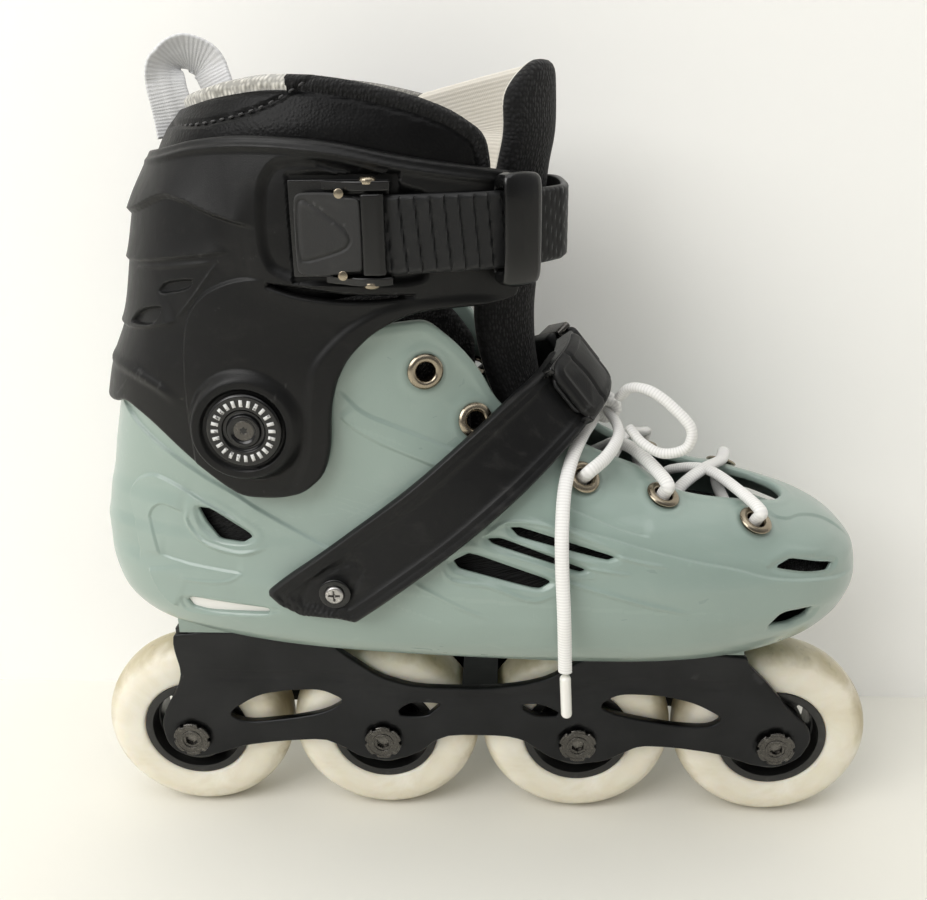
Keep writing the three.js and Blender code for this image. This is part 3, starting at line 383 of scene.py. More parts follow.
def close_sheet(values, triangles, wall, edge, cuts, height_of=None, group_of=None):
    """Cuts a sheet to what is kept, with edges rounded by the radius edge, and gives it its thickness."""
    values, triangles = split(values, triangles, 6, 0.0)
    triangles = triangles[values[triangles, 6].mean(1) > 1e-7]
    for share in (0.12, 0.5, 1.0):
        values, triangles = split(values, triangles, 6, edge * share)
    for column, level in cuts:
        values, triangles = split(values, triangles, 11 + column, level)
    used, triangles = np.unique(triangles, return_inverse=True)
    triangles = triangles.reshape(-1, 3)
    values = values[used]
    p, normal = values[:, 0:3], unit(values[:, 3:6])
    height = values[:, 7] if height_of is None else height_of(values[:, 11:], p)
    d = np.clip(values[:, 6] / edge, 0, 1)
    rise = np.sqrt(np.maximum(1 - (1 - d) ** 2, 0))
    round_by = np.minimum(edge, (wall - values[:, 8]) / 2.05) * (1 - rise)
    outer = p + normal * (height * rise - round_by)[:, None]
    under = p + normal * (-wall + values[:, 8] + round_by)[:, None]
    count = len(p)
    pairs = np.vstack([triangles[:, [0, 1]], triangles[:, [1, 2]], triangles[:, [2, 0]]])
    key = np.sort(pairs, 1)
    _, first, times = np.unique(key, axis=0, return_index=True, return_counts=True)
    rim = pairs[first[times == 1]]
    strip = np.vstack([np.stack([rim[:, 1], rim[:, 0], rim[:, 0] + count], 1),
                       np.stack([rim[:, 1], rim[:, 0] + count, rim[:, 1] + count], 1)])
    group = np.zeros(len(triangles), int)
    if group_of is not None:
        group = np.asarray(group_of(values[triangles].mean(1)), int)
    groups = np.concatenate([group, group + 100, np.zeros(len(strip), int)])
    faces = np.vstack([triangles, triangles[:, ::-1] + count, strip])
    return np.vstack([outer, under]), faces, np.vstack([values[:, 9:11]] * 2), groups


def lathe(profile, segments, centre=(0, 0, 0), axis=(0, -1, 0), closed=False):
    """(radius, height) points turned about an axis. Returns a point grid as a closed surface."""
    profile = np.asarray(profile, float)
    w = unit(axis)
    helper = np.array([0, 0, 1.0]) if abs(w[2]) < 0.9 else np.array([1.0, 0, 0])
    u = unit(np.cross(w, helper))
    v = np.cross(w, u)
    a = np.arange(segments) / segments * 2 * PI
    ring = np.cos(a)[:, None] * u + np.sin(a)[:, None] * v
    points = np.asarray(centre, float) + profile[:, None, :1] * ring + profile[:, None, 1:] * w
    rows = len(profile)
    faces = []
    for r in range(rows if closed else rows - 1):
        for k in range(segments):
            n = (k + 1) % segments
            q = (r + 1) % rows
            faces.append((r * segments + k, r * segments + n, q * segments + n, q * segments + k))
    run = np.concatenate([[0], np.cumsum(np.linalg.norm(np.diff(profile, axis=0), axis=1))])
    uv = np.stack(np.broadcast_arrays(a * profile[:, :1].max(), run[:, None]), -1).reshape(-1, 2)
    return points.reshape(-1, 3), faces, uv


def rounded_profile(profile, radius=0.5, steps=3, closed=False):
    """Corners of a (radius, height) profile rounded off."""
    p = np.asarray(profile, float)
    out = []
    for i in range(len(p)):
        if not closed and i in (0, len(p) - 1):
            out.append(p[i])
            continue
        a, b, c = p[i - 1], p[i], p[(i + 1) % len(p)]
        la, lc = np.linalg.norm(a - b), np.linalg.norm(c - b)
        r = min(radius, la * 0.45, lc * 0.45)
        start, end = b + (a - b) / la * r, b + (c - b) / lc * r
        for t in np.linspace(0, 1, steps + 1):
            out.append((1 - t) ** 2 * start + 2 * t * (1 - t) * b + t * t * end)
    return np.array(out)


def tube(path, wide, thick, sides=14, across=None, rib=0.0, pitch=1.0, taper=0.0):
    """An oval cord along evenly spaced points; rib raises a fine ring at each pitch."""
    path = np.asarray(path, float)
    tangent = unit(np.gradient(path, axis=0))
    side = across if across is not None else None
    rings, run = [], 0.0
    current = None
    runs = np.concatenate([[0], np.cumsum(np.linalg.norm(np.diff(path, axis=0), axis=1))])
    for i, t in enumerate(tangent):
        if side is not None:
            current = np.asarray(side[i] if np.ndim(side) == 2 else side, float)
        elif current is None:
            helper = np.array([0, 0, 1.0]) if abs(t[2]) < 0.9 else np.array([1.0, 0, 0])
            current = np.cross(helper, t)
        current = unit(current - t * (current @ t))
        other = np.cross(t, current)
        run = runs[i]
        swell = 1 + rib * math.cos(2 * PI * run / pitch)
        if taper:
            end = min(run, runs[-1] - run) / taper
            swell *= math.sqrt(max(1 - (1 - min(end, 1)) ** 2, 0.02))
        a = np.arange(sides) / sides * 2 * PI
        rings.append(path[i]
                     + swell * (wide * np.cos(a)[:, None] * current + thick * np.sin(a)[:, None] * other))
    points = np.vstack(rings)
    faces = []
    for r in range(len(path) - 1):
        for k in range(sides):
            n = (k + 1) % sides
            faces.append((r * sides + k, r * sides + n, (r + 1) * sides + n, (r + 1) * sides + k))
    faces.append(tuple(range(sides))[::-1])
    faces.append(tuple(range((len(path) - 1) * sides, len(path) * sides)))
    uv = np.stack(np.broadcast_arrays(np.arange(sides)[None, :] / sides * PI * (wide + thick),
                                      runs[:, None]), -1).reshape(-1, 2)
    return points, faces, uv


def prism(outline, low, high, place=lambda u, v, h: (u, h, v)):
    """A flat outline swept from low to high."""
    n = len(outline)
    points = [place(u, v, low) for u, v in outline] + [place(u, v, high) for u, v in outline]
    faces = [tuple(range(n)), tuple(range(2 * n - 1, n - 1, -1))]
    faces += [((k + 1) % n, k, k + n, (k + 1) % n + n) for k in range(n)]
    return np.array(points, float), faces, None


def merged(*meshes):
    """Several (points, faces, uv) as one."""
    points, faces, uvs, base = [], [], [], 0
    for p, f, uv in meshes:
        points.append(p)
        faces += [tuple(int(i) + base for i in face) for face in f]
        uvs.append(np.zeros((len(p), 2)) if uv is None else uv)
        base += len(p)
    return np.vstack(points), faces, np.vstack(uvs)


def piece(name, mesh, body, materials, replaces=(), groups=None, bevel=0.0, flat_angle=None, ride=True):
    """Makes a Blender object from (points, faces, uv) and ties it to the frame."""
    points, faces, uv = mesh[:3]
    data = bpy.data.meshes.new(name)
    data.from_pydata((np.asarray(points) * MM).tolist(), [], [list(map(int, f)) for f in faces])
    if uv is not None:
        layer = data.uv_layers.new(name="mm")
        loops = np.zeros(len(data.loops), int)
        data.loops.foreach_get("vertex_index", loops)
        layer.data.foreach_set("uv", (np.asarray(uv)[loops] * 0.01).astype(np.float32).ravel())
    materials = materials if isinstance(materials, (list, tuple)) else [materials]
    for m in materials:
        data.materials.append(m)
    if groups is not None:
        data.polygons.foreach_set("material_index", np.asarray(groups, int))
    data.shade_smooth()
    obj = bpy.data.objects.new(name, data)
    bpy.context.scene.collection.objects.link(obj)
    bmesh_clean(data)
    if flat_angle:
        data.set_sharp_from_angle(angle=math.radians(flat_angle))
    if bevel:
        b = obj.modifiers.new("bevel", "BEVEL")
        b.width, b.segments, b.limit_method, b.angle_limit = bevel * MM, 3, "ANGLE", math.radians(28)
        b.harden_normals = True
    if ride:
        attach(obj, body)
    if replaces:
        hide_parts(*replaces)
    return obj


def bmesh_clean(data, distance=2e-6):
    import bmesh
    bm = bmesh.new()
    bm.from_mesh(data)
    bmesh.ops.remove_doubles(bm, verts=bm.verts, dist=distance)
    bmesh.ops.dissolve_degenerate(bm, edges=bm.edges, dist=1e-7)
    bmesh.ops.recalc_face_normals(bm, faces=bm.faces)
    bm.to_mesh(data)
    bm.free()
    return data


# ------------------------------------------------------------------- materials
class Nodes:
    """A short way to write a procedural material."""

    def __init__(self, name):
        self.material = bpy.data.materials.new(name)
        self.material.use_nodes = True
        self.tree = self.material.node_tree
        self.shader = self.tree.nodes["Principled BSDF"]
        self.coords = self.tree.nodes.new("ShaderNodeTexCoord")
        self.height = None

    def node(self, kind, **inputs):
        made = self.tree.nodes.new("ShaderNode" + kind)
        for key, value in inputs.items():
            key = key.replace("_", " ")
            if hasattr(value, "is_output"):
                self.tree.links.new(value, made.inputs[key])
            else:
                made.inputs[key].default_value = value
        return made

    def mapping(self, scale, source="Object", rotation=(0, 0, 0)):
        made = self.node("Mapping", Scale=scale, Rotation=rotation)
        self.tree.links.new(self.coords.outputs[source], made.inputs["Vector"])
        return made.outputs["Vector"]

    def noise(self, scale, detail=3.0, rough=0.5, vector=None, distortion=0.0):
        made = self.node("TexNoise", Scale=scale, Detail=detail, Roughness=rough, Distortion=distortion)
        self.tree.links.new(vector or self.coords.outputs["Object"], made.inputs["Vector"])
        return made.outputs["Fac"]

    def voronoi(self, scale, vector=None, feature="F1", randomness=1.0):
        made = self.tree.nodes.new("ShaderNodeTexVoronoi")
        made.feature = feature
        made.inputs["Scale"].default_value = scale
        made.inputs["Randomness"].default_value = randomness
        self.tree.links.new(vector or self.coords.outputs["Object"], made.inputs["Vector"])
        return made.outputs["Distance"]

    def wave(self, scale, vector, direction="X", distortion=0.0, detail=0.0):
        made = self.tree.nodes.new("ShaderNodeTexWave")
        made.bands_direction = direction
        made.inputs["Scale"].default_value = scale
        made.inputs["Distortion"].default_value = distortion
        made.inputs["Detail"].default_value = detail
        self.tree.links.new(vector, made.inputs["Vector"])
        return made.outputs["Fac"]

    def ramp(self, value, low, high, out_low=0.0, out_high=1.0):
        made = self.node("MapRange", Value=value)
        for key, number in zip(("From Min", "From Max", "To Min", "To Max"), (low, high, out_low, out_high)):
            made.inputs[key].default_value = number
        return made.outputs["Result"]

    def math(self, kind, a, b=0.0):
        made = self.tree.nodes.new("ShaderNodeMath")
        made.operation = kind
        for socket, value in zip(made.inputs, (a, b)):
            if hasattr(value, "is_output"):
                self.tree.links.new(value, socket)
            else:
                socket.default_value = value
        return made.outputs["Value"]

    def mix(self, factor, a, b):
        made = self.tree.nodes.new("ShaderNodeMix")
        made.data_type = "RGBA"
        for key, value in ((0, factor), (6, a), (7, b)):
            if hasattr(value, "is_output"):
                self.tree.links.new(value, made.inputs[key])
            elif key == 0:
                made.inputs[0].default_value = value
            else:
                made.inputs[key].default_value = (*value[:3], 1)
        return made.outputs[2]

    def edges(self, low=0.52, high=0.6):
        geometry = self.tree.nodes.new("ShaderNodeNewGeometry")
        return self.ramp(geometry.outputs["Pointiness"], low, high)

    def bump(self, height, distance, strength=1.0):
        made = self.node("Bump", Strength=strength, Distance=distance, Height=height)
        if self.height is not None:
            self.tree.links.new(self.height, made.inputs["Normal"])
        self.height = made.outputs["Normal"]

    def done(self, colour, rough, metal=0.0, coat=0.0, coat_rough=0.1, sheen=0.0, ior=1.5, subsurface=0.0):
        for key, value in (("Base Color", colour), ("Roughness", rough)):
            if hasattr(value, "is_output"):
                self.tree.links.new(value, self.shader.inputs[key])
            else:
                self.shader.inputs[key].default_value = (*value[:3], 1) if key == "Base Color" else value
        for key, value in (("Metallic", metal), ("Coat Weight", coat), ("Coat Roughness", coat_rough),
                           ("Sheen Weight", sheen), ("IOR", ior), ("Subsurface Weight", subsurface)):
            self.shader.inputs[key].default_value = value
        if self.height is not None:
            self.tree.links.new(self.height, self.shader.inputs["Normal"])
        return self.material


def tint(colour, factor):
    return tuple(min(c * factor, 1) for c in colour)


def plastic(name, colour, rough, grain=0.00004, grain_scale=2600, wear=0.4, coat=0.0, dust=0.06, haze=0.12,
            shine=0.5):
    """Moulded plastic: fine grain, faint scratches and handling haze, edges rubbed a little lighter."""
    m = Nodes(name)
    broad = m.noise(14, 4)
    streak = m.noise(1, 3, 0.6, m.mapping((60, 420, 160), rotation=(0.4, 0.3, 0.7)), 0.4)
    scratch = m.ramp(m.noise(1, 2, 0.5, m.mapping((900, 40, 260), rotation=(0.2, 0.9, 0.4))), 0.66, 0.74)
    colour_out = m.mix(m.ramp(broad, 0.3, 0.7), tint(colour, 0.93), tint(colour, 1.07))
    colour_out = m.mix(m.math("MULTIPLY", m.ramp(streak, 0.55, 0.8), dust), colour_out, (0.6, 0.58, 0.54))
    colour_out = m.mix(m.math("MULTIPLY", m.edges(), wear), colour_out,
                       tint(tuple(c + 0.03 for c in colour), 1.6))
    rough_out = m.ramp(m.math("ADD", m.math("MULTIPLY", broad, 0.6), m.math("MULTIPLY", streak, 0.4)),
                       0.3, 0.7, rough - haze / 2, rough + haze)
    m.bump(m.noise(grain_scale, 2), grain)
    m.bump(scratch, 0.00003, 0.6)
    made = m.done(colour_out, rough_out, coat=coat, coat_rough=0.12)
    m.shader.inputs["Specular IOR Level"].default_value = shine
    return made


def metal(name, colour, rough, brushed=(1, 1, 1), grain=0.00002, wear=0.5, spots=0.0):
    """Metal: brushed or cast grain, darker grime in patches and bright rubbed edges."""
    m = Nodes(name)
    line = m.noise(700, 3, 0.6, m.mapping(brushed))
    patch = m.noise(40, 4)
    colour_out = m.mix(m.ramp(patch, 0.35, 0.7), tint(colour, 0.8), tint(colour, 1.1))
    colour_out = m.mix(m.math("MULTIPLY", m.edges(0.53, 0.62), wear), colour_out, tint(colour, 1.9))
    if spots:
        colour_out = m.mix(m.math("MULTIPLY", m.ramp(m.noise(260, 3), 0.62, 0.75), spots), colour_out,
                           (0.16, 0.1, 0.05))
    rough_out = m.ramp(m.math("ADD", m.math("MULTIPLY", line, 0.5), m.math("MULTIPLY", patch, 0.5)),
                       0.3, 0.7, rough * 0.75, rough * 1.3)
    m.bump(line, grain)
    return m.done(colour_out, rough_out, metal=1.0)


def knit(name, colour, cell=1.5, depth=0.0004, sheen=0.4, bright=1.9, rough=0.85):
    """Knitted fabric: rows of small loops laid out along the piece's own surface, with painted shade in the
    gaps between loops and painted highlight on their tops.
    """
    m = Nodes(name)
    flat = m.mapping((100 / cell, 100 / cell * 0.72, 1), "UV")
    loops = m.voronoi(1.0, flat, "F1", 0.55)
    fibre = m.noise(4200, 2)
    yarn = m.ramp(loops, 0.15, 0.62, 1.0, 0.0)
    height = m.math("ADD", yarn, m.math("MULTIPLY", fibre, 0.25))
    # Painted shade and painted highlight: the colour follows the loop height, darker down in the gaps between
    # loops and lighter (by bright) on the loop tops.
    colour_out = m.mix(yarn, tint(colour, 0.45), tint(colour, bright))
    colour_out = m.mix(m.ramp(m.noise(60, 3), 0.4, 0.75, 0, 0.25), colour_out, tint(colour, 2.2))
    m.bump(height, depth)
    made = m.done(colour_out, m.ramp(fibre, 0.3, 0.7, rough - 0.08, rough + 0.1), sheen=sheen)
    m.shader.inputs["Specular IOR Level"].default_value = 0.3
    return made


def leather(name, colour, rough=0.42, grain=0.9):
    """Smooth synthetic leather: pebbled grain, soft creases and a satin face."""
    m = Nodes(name)
    pebble = m.voronoi(1000 / grain, None, "SMOOTH_F1", 0.9)
    crease = m.noise(60, 4, 0.6, None, 1.4)
    colour_out = m.mix(m.ramp(m.noise(30, 4), 0.3, 0.7), tint(colour, 0.85), tint(colour, 1.2))
    colour_out = m.mix(m.ramp(crease, 0.62, 0.7, 0, 0.3), colour_out, tint(colour, 1.7))
    m.bump(m.ramp(pebble, 0.1, 0.6, 1, 0), 0.00006)
    m.bump(crease, 0.00012, 0.4)
    made = m.done(colour_out, m.ramp(m.noise(90, 3), 0.3, 0.7, rough - 0.04, rough + 0.08))
    m.shader.inputs["Specular IOR Level"].default_value = 0.14
    return made


def ribbed(name, colour, pitch=0.9, depth=0.00012, rough=0.75):
    """Woven webbing: fine ribs across the band, crossed by threads, with painted shade in the valleys between
    the ribs.
    """
    m = Nodes(name)
    ribs = m.wave(31.4 / pitch, m.mapping((1, 1, 1), "UV"), "Y", 0.5, 1.0)
    threads = m.wave(31.4 / 0.7, m.mapping((1, 1, 1), "UV"), "X", 0.8, 1.0)
    height = m.math("ADD", ribs, m.math("MULTIPLY", threads, 0.4))
    # Painted shade: the colour is a little darker down in the valleys between the ribs than on their crests.
    colour_out = m.mix(m.ramp(ribs, 0.1, 0.7), tint(colour, 0.88), colour)
    colour_out = m.mix(m.ramp(m.noise(70, 4), 0.45, 0.8, 0, 0.2), colour_out,
                       tint((colour[0], colour[1] * 0.96, colour[2] * 0.86), 0.8))
    m.bump(height, depth)
    m.bump(m.noise(5000, 2), 0.00005)
    return m.done(colour_out, rough, sheen=0.3)


def urethane(name):
    """Cream polyurethane: cloudy, yellowed towards the rim and lightly soiled on the tread."""
    m = Nodes(name)
    radial = m.node("VectorMath")
    radial.operation = "LENGTH"
    flat = m.mapping((1, 0, 1))
    m.tree.links.new(flat, radial.inputs[0])
    distance = radial.outputs["Value"]
    cloud = m.noise(45, 5, 0.55, None, 0.8)
    edge = m.ramp(m.math("ADD", distance, m.math("MULTIPLY", cloud, 0.012)), 0.0405, 0.0465)
    colour = m.mix(m.ramp(cloud, 0.32, 0.68), (0.9, 0.86, 0.75), (0.78, 0.715, 0.56))
    colour = m.mix(m.math("MULTIPLY", edge, 0.85), colour, (0.42, 0.355, 0.2))
    soil = m.ramp(m.noise(170, 4, 0.7), 0.55, 0.72)
    tread = m.ramp(distance, 0.0365, 0.0398)
    colour = m.mix(m.math("MULTIPLY", m.math("MULTIPLY", soil, tread), 0.55), colour, (0.2, 0.17, 0.12))
    m.bump(m.noise(900, 3), 0.00004)
    m.bump(m.math("MULTIPLY", m.noise(300, 4), tread), 0.0003, 0.5)
    made = m.done(colour, m.ramp(cloud, 0.3, 0.7, 0.3, 0.45), coat=0.1, subsurface=0.35)
    m.shader.inputs["Subsurface Scale"].default_value = 0.006
    m.shader.inputs["Subsurface Radius"].default_value = (1.0, 0.75, 0.4)
    return made


SAGE = (0.282, 0.362, 0.324)
BLACK = (0.0034, 0.0035, 0.0037)
MAT = {
    "shell": plastic("sage_moulded", SAGE, 0.3, 0.00002, 1500, wear=0.06, coat=0.4, dust=0.05, haze=0.1),
    "cuff": plastic("black_moulded", BLACK, 0.36, 0.00004, 2600, wear=0.35, dust=0.01, haze=0.14, shine=0.26),
    "strap": plastic("black_strap", tint(BLACK, 1.5), 0.42, 0.00006, 1800, wear=0.5, dust=0.02, shine=0.28),
    "gloss": plastic("black_gloss", tint(BLACK, 0.8), 0.16, 0.00001, 2000, wear=0.2, dust=0.006, shine=0.5),
    "ladder": plastic("ladder_plastic", tint(BLACK, 3.4), 0.38, 0.00004, 2200, wear=0.45, dust=0.012,
                      shine=0.32),
    "lever": plastic("lever_plastic", (0.028, 0.028, 0.028), 0.46, 0.00006, 2200, wear=0.4, dust=0.02,
                     shine=0.3),
    "frame": metal("anodised_frame", (0.034, 0.0345, 0.036), 0.38, (0.08, 1, 1.6), wear=0.5),
    "dark_steel": metal("black_steel", (0.10, 0.095, 0.088), 0.26, wear=0.6),
    "steel": metal("steel", (0.42, 0.41, 0.4), 0.3),
    "nickel": metal("nickel_brass", (0.36, 0.31, 0.235), 0.24, spots=0.3),
    "tyre": urethane("tyre_urethane"),
    "hub": plastic("hub_nylon", (0.009, 0.009, 0.0085), 0.34, wear=0.3, dust=0.03),
    "knit": knit("black_knit", (0.0065, 0.0065, 0.007), 1.15, sheen=0.08),
    # bright=5 paints strong highlights on the mesh loop tops, like glints.
    "mesh": knit("black_mesh_lining", (0.006, 0.006, 0.006), 1.0, 0.0006, sheen=0.1, bright=5),
    "lining": ribbed("pale_lining", (0.74, 0.70, 0.62), 1.5, 0.00005, rough=0.6),
    "trim": knit("pale_trim", (0.68, 0.66, 0.6), 1.6, 0.0004, bright=1.15),
    "leather": leather("black_leather", (0.0036, 0.0036, 0.0039), 0.38),
    "lace": ribbed("lace_weave", (0.9, 0.895, 0.875), 1.05, 0.00006),
    "loop": ribbed("webbing", (0.76, 0.765, 0.78), 1.1, 0.0001),
    "insole": knit("insole_fabric", (0.03, 0.03, 0.032), 1.4),
}

# ---------------------------------------------------------------------- camera
CAMERA_AT = (0.0104, -0.3447, 0.2910)
CAMERA_YAW, CAMERA_PITCH, CAMERA_ROLL = math.radians(-2.73), math.radians(20.23), math.radians(-0.78)
FOCAL_PIXELS, IMAGE_WIDTH, SENSOR = 945.8, 927, 36


def make_camera():
    data = bpy.data.cameras.new("camera")
    data.sensor_width = SENSOR
    data.lens = FOCAL_PIXELS / IMAGE_WIDTH * SENSOR
    data.clip_start, data.clip_end = 0.01, 50
    obj = bpy.data.objects.new("camera", data)
    bpy.context.scene.collection.objects.link(obj)
    yaw, pitch, roll = CAMERA_YAW, CAMERA_PITCH, CAMERA_ROLL
    f = Vector((math.sin(yaw) * math.cos(pitch), math.cos(yaw) * math.cos(pitch), -math.sin(pitch)))
    r = Vector((math.cos(yaw), -math.sin(yaw), 0))
    u = r.cross(f)
    right = r * math.cos(roll) + u * math.sin(roll)
    up = -r * math.sin(roll) + u * math.cos(roll)
    turn = Matrix((right, up, -f)).transposed()
    obj.matrix_world = Matrix.Translation(CAMERA_AT) @ turn.to_4x4()
    bpy.context.scene.camera = obj


make_camera()

# ----------------------------------------------------------------------- laces
EYELETS = [(-16.6, 206.9), (-0.2, 188.5), (37.7, 165.4), (67, 156.3), (100.7, 146.6)]
KNOT = np.array([48.5, 0, 181.5])


def lace_seat(index, side, height):
    x, z = EYELETS[index]
    return surface_point(x, z, side) + surface_normal(x, z, side) * height


def lace_through(index, side):
    return [lace_seat(index, side, h) for h in (-6.6, -2.5, 2, 5)]


def crossing(side):
    return [(99, -side * 8, 137), *lace_through(4, -side), (97, -side * 16, 154), (87, 0, 156.5),
            (76.5, side * 9.5, 152.5), (70.5, side * 17, 146), *lace_through(3, side),
            (65, side * 20.5, 164.2), (57.5, side * 8, 168), (52, -side * 4.5, 165.5),
            (48, -side * 12.5, 160.6), (43.5, -side * 19.5, 156.6), *lace_through(2, -side),
            (46, -side * 30, 172.5), (51.5, -side * 17, 177), KNOT]


def beside_shell(x, z, lift):
    return surface_point(x, z, -1) + surface_normal(x, z, -1) * lift


def mirrored(points):
    return [(p[0], -p[1], p[2]) for p in points]


LACE_LOOP = [(52.5, -7, 187.5), (55.5, -10.5, 192), (62, -15.5, 192.5), (70, -19.5, 187.5), (76.5, -23, 180),
             (75, -24, 173.8), (67, -22.5, 171), (60, -18, 173.5), (56, -12, 177)]
TAIL = [(43, -7.5, 179.8), (41, -14.5, 179.4), beside_shell(36.2, 175.6, 3.2), beside_shell(32, 170, 3.4),
        beside_shell(29.8, 163, 3.8), beside_shell(29.4, 152, 4), beside_shell(29.8, 141, 4),
        (30.8, -56, 122), (31.6, -56.3, 101)]
AGLET = [(31.65, -56.3, 99.6), (32.6, -56.5, 82)]


def lace(points, name, body="boot_and_frame", **keys):
    path = spline(points, 0.26)
    return path, piece(name,
                       tube(path, LACE_RADIUS + 0.1, LACE_RADIUS - 0.55, 14, rib=0.014, pitch=1.05, **keys),
                       body, MAT["lace"])


def make_laces():
    made = {}
    for word, side in (("right", lambda p: p), ("left", mirrored)):
        path, tail = lace(side(TAIL), f"free_lace_{word}")
        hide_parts(f"lace_tail_{word}")
        line = spline(side(AGLET), 0.5)
        tip = piece(f"lace_tip_{word}", tube(line, 2.15, 2.0, 18, taper=1.6), "boot_and_frame",
                    MAT["tip"], replaces=[f"lace_aglet_{word}"])
        made[word] = tail
    path, bow = lace(LACE_LOOP, "lace_bow")
    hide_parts("lace_loop")
    bar = [(99, -10, 136.8), (99.5, 0, 136.3), (99, 10, 136.8)]
    meshes = []
    for points in (crossing(1), crossing(-1), bar):
        meshes.append(tube(spline(points, 0.3), LACE_RADIUS + 0.1, LACE_RADIUS - 0.5, 12, rib=0.014,
                           pitch=1.05))
    wraps = [(KNOT[0] + 3.4 * math.cos(a), -6 + a * 0.95, KNOT[2] + 3.4 * math.sin(a))
             for a in np.linspace(0, 4 * PI, 40)]
    meshes.append(tube(spline(wraps, 0.3), 2.3, 1.7, 12, rib=0.014, pitch=1.05))
    piece("lace_crossing", merged(*meshes), "boot_and_frame", MAT["lace"], replaces=["lacing"])


def clear_tip():
    m = Nodes("lace_tip_film")
    swirl = m.noise(500, 3, vector=m.mapping((1, 1, 0.1)))
    m.bump(swirl, 0.0001)
    return m.done(m.mix(m.ramp(swirl, 0.3, 0.7), (0.82, 0.8, 0.74), (0.9, 0.89, 0.85)), 0.28, coat=0.5)


MAT["tip"] = clear_tip()
make_laces()

# ----------------------------------------------------------- shell and its relief
THROAT_HALF = [(-6, 24), (3, 30), (9, 31), (18, 27), (34, 21), (51, 15.5), (60, 13.5), (64.5, 16.4), (68, 20),
               (76, 20.6), (93, 17.5), (107, 14), (113, 11), (117, 5)]
SHELL_RIM = [(-170, 192.5), (-124, 197), (-112, 203), (-98, 211), (-80, 217), (-50, 221), (-20, 224),
             (-14.5, 223.5),
             (-5, 214.6), (1.7, 205.8), (6.7, 195.7), (13, 188.5), (60, 188.5), (60, 260), (-170, 260)]
SIDE_VENTS = [[(-101, 155), (-96, 155), (-80, 146), (-84, 143.4), (-93, 144), (-98, 149)],
              [(12, 152), (16, 152), (49, 141.5), (46, 140.4), (15, 148.6)],
              [(4, 148), (9, 148.2), (39, 137), (36, 136.2), (6, 146)],
              [(-8, 140), (-2, 143), (27, 133), (22, 129.8), (-6, 137)]]
TOE_VENTS = [[(107, 133.4), (114, 135.4), (133, 129.2), (131, 126.6), (122, 128.8)],
             [(106, 109.4), (111, 115), (124.5, 114), (123, 109.6), (116, 107.6)]]
HEEL_SLOT = [(-109, 117.4), (-106, 119), (-76, 118), (-76, 115.8), (-101, 113.2), (-107, 114)]
# Moulded relief: (kind, side-view line or outline, height, width, fall-off length)
SHELL_STEPS = [
    ([(-132, 193), (-121, 183.3), (-109.6, 175.2), (-95.7, 166.2), (-84.7, 160.4), (-68.3, 151.4),
      (-53.2, 143.7),
      (-40, 137)], -1.0, 1.3, 26),
    ([(-46, 203), (-38.3, 194.4), (-27.1, 188.6), (-15.6, 183.3), (-6.6, 178.8), (8, 172)], -0.7, 1.6, 9),
    ([(-46.1, 193.2), (-40, 187.6), (-32.4, 182.6), (-24.8, 179), (-17, 175.4), (-4, 169)], 0.6, 1.6, 11),
    ([(16, 156.5), (34.5, 151.2), (48.2, 147.3), (60.7, 143.3), (73.4, 139.6), (93, 134.4), (101.6, 131.2),
      (111.5, 128.4), (124.9, 125.3), (137.6, 122.2), (147, 121)], -0.9, 1.2, 22),
    ([(30, 159), (43.3, 153.4), (53.2, 149.7), (62, 147.2)], -0.5, 1.4, 6),
    ([(-127, 130), (-127, 136.3), (-127.9, 145.1), (-129.6, 156.3), (-125.5, 161.8), (-117.8, 165.3),
      (-111.5, 163.9), (-96.8, 157), (-82, 149.6)], -0.9, 1.3, 14),
    ([(-117.5, 134), (-119.2, 142.6), (-120.5, 149.5), (-117.4, 153.8), (-113.2, 154.9), (-106, 152.5)], 0.6,
     1.2, 7),
    ([(-123, 129), (-121, 122.1), (-117, 116.1), (-112.6, 113.4)], 0.8, 1.3, 7),
    ([(-118, 135), (-106.5, 133.4), (-83.8, 131.7)], -0.5, 1.2, 5),
]
SHELL_RIDGES = [
    ([(-103.8, 155.4), (-105.1, 149.7), (-100.1, 143.2), (-90.6, 140), (-83.3, 139.6), (-73, 143)], 0.75,
     1.3),
    ([(20, 137), (34.7, 132), (45.9, 128.7), (61.1, 123.9), (79, 119)], 0.75, 1.3),
    ([(47, 142.3), (58.2, 139.3), (68, 137.2)], 0.6, 1.1),
                ([(38, 138.2), (48.3, 136.3), (55.5, 135)], 0.55, 1.0),
    ([(-23, 132), (-11.7, 126.1), (-2.9, 121.3), (6, 118)], 0.4, 1.2),
    ([(-84, 131.8), (-91.4, 128), (-111.8, 126.6)], 0.35, 0.9),
    ([(-12.5, 139), (-9.5, 133.6), (4.7, 131.2), (21, 126), (30, 129.5)], 0.7, 1.2),
    ([(0.5, 146.4), (5.4, 150.6), (10.9, 154), (25.8, 152.4), (51, 143)], 0.6, 1.1),
    ([(6.5, 143.4), (22, 139.2), (38, 134.2)], 0.5, 1.1),
                ([(10, 147.2), (28, 142.6), (46, 138.6)], 0.45, 1.0),
]
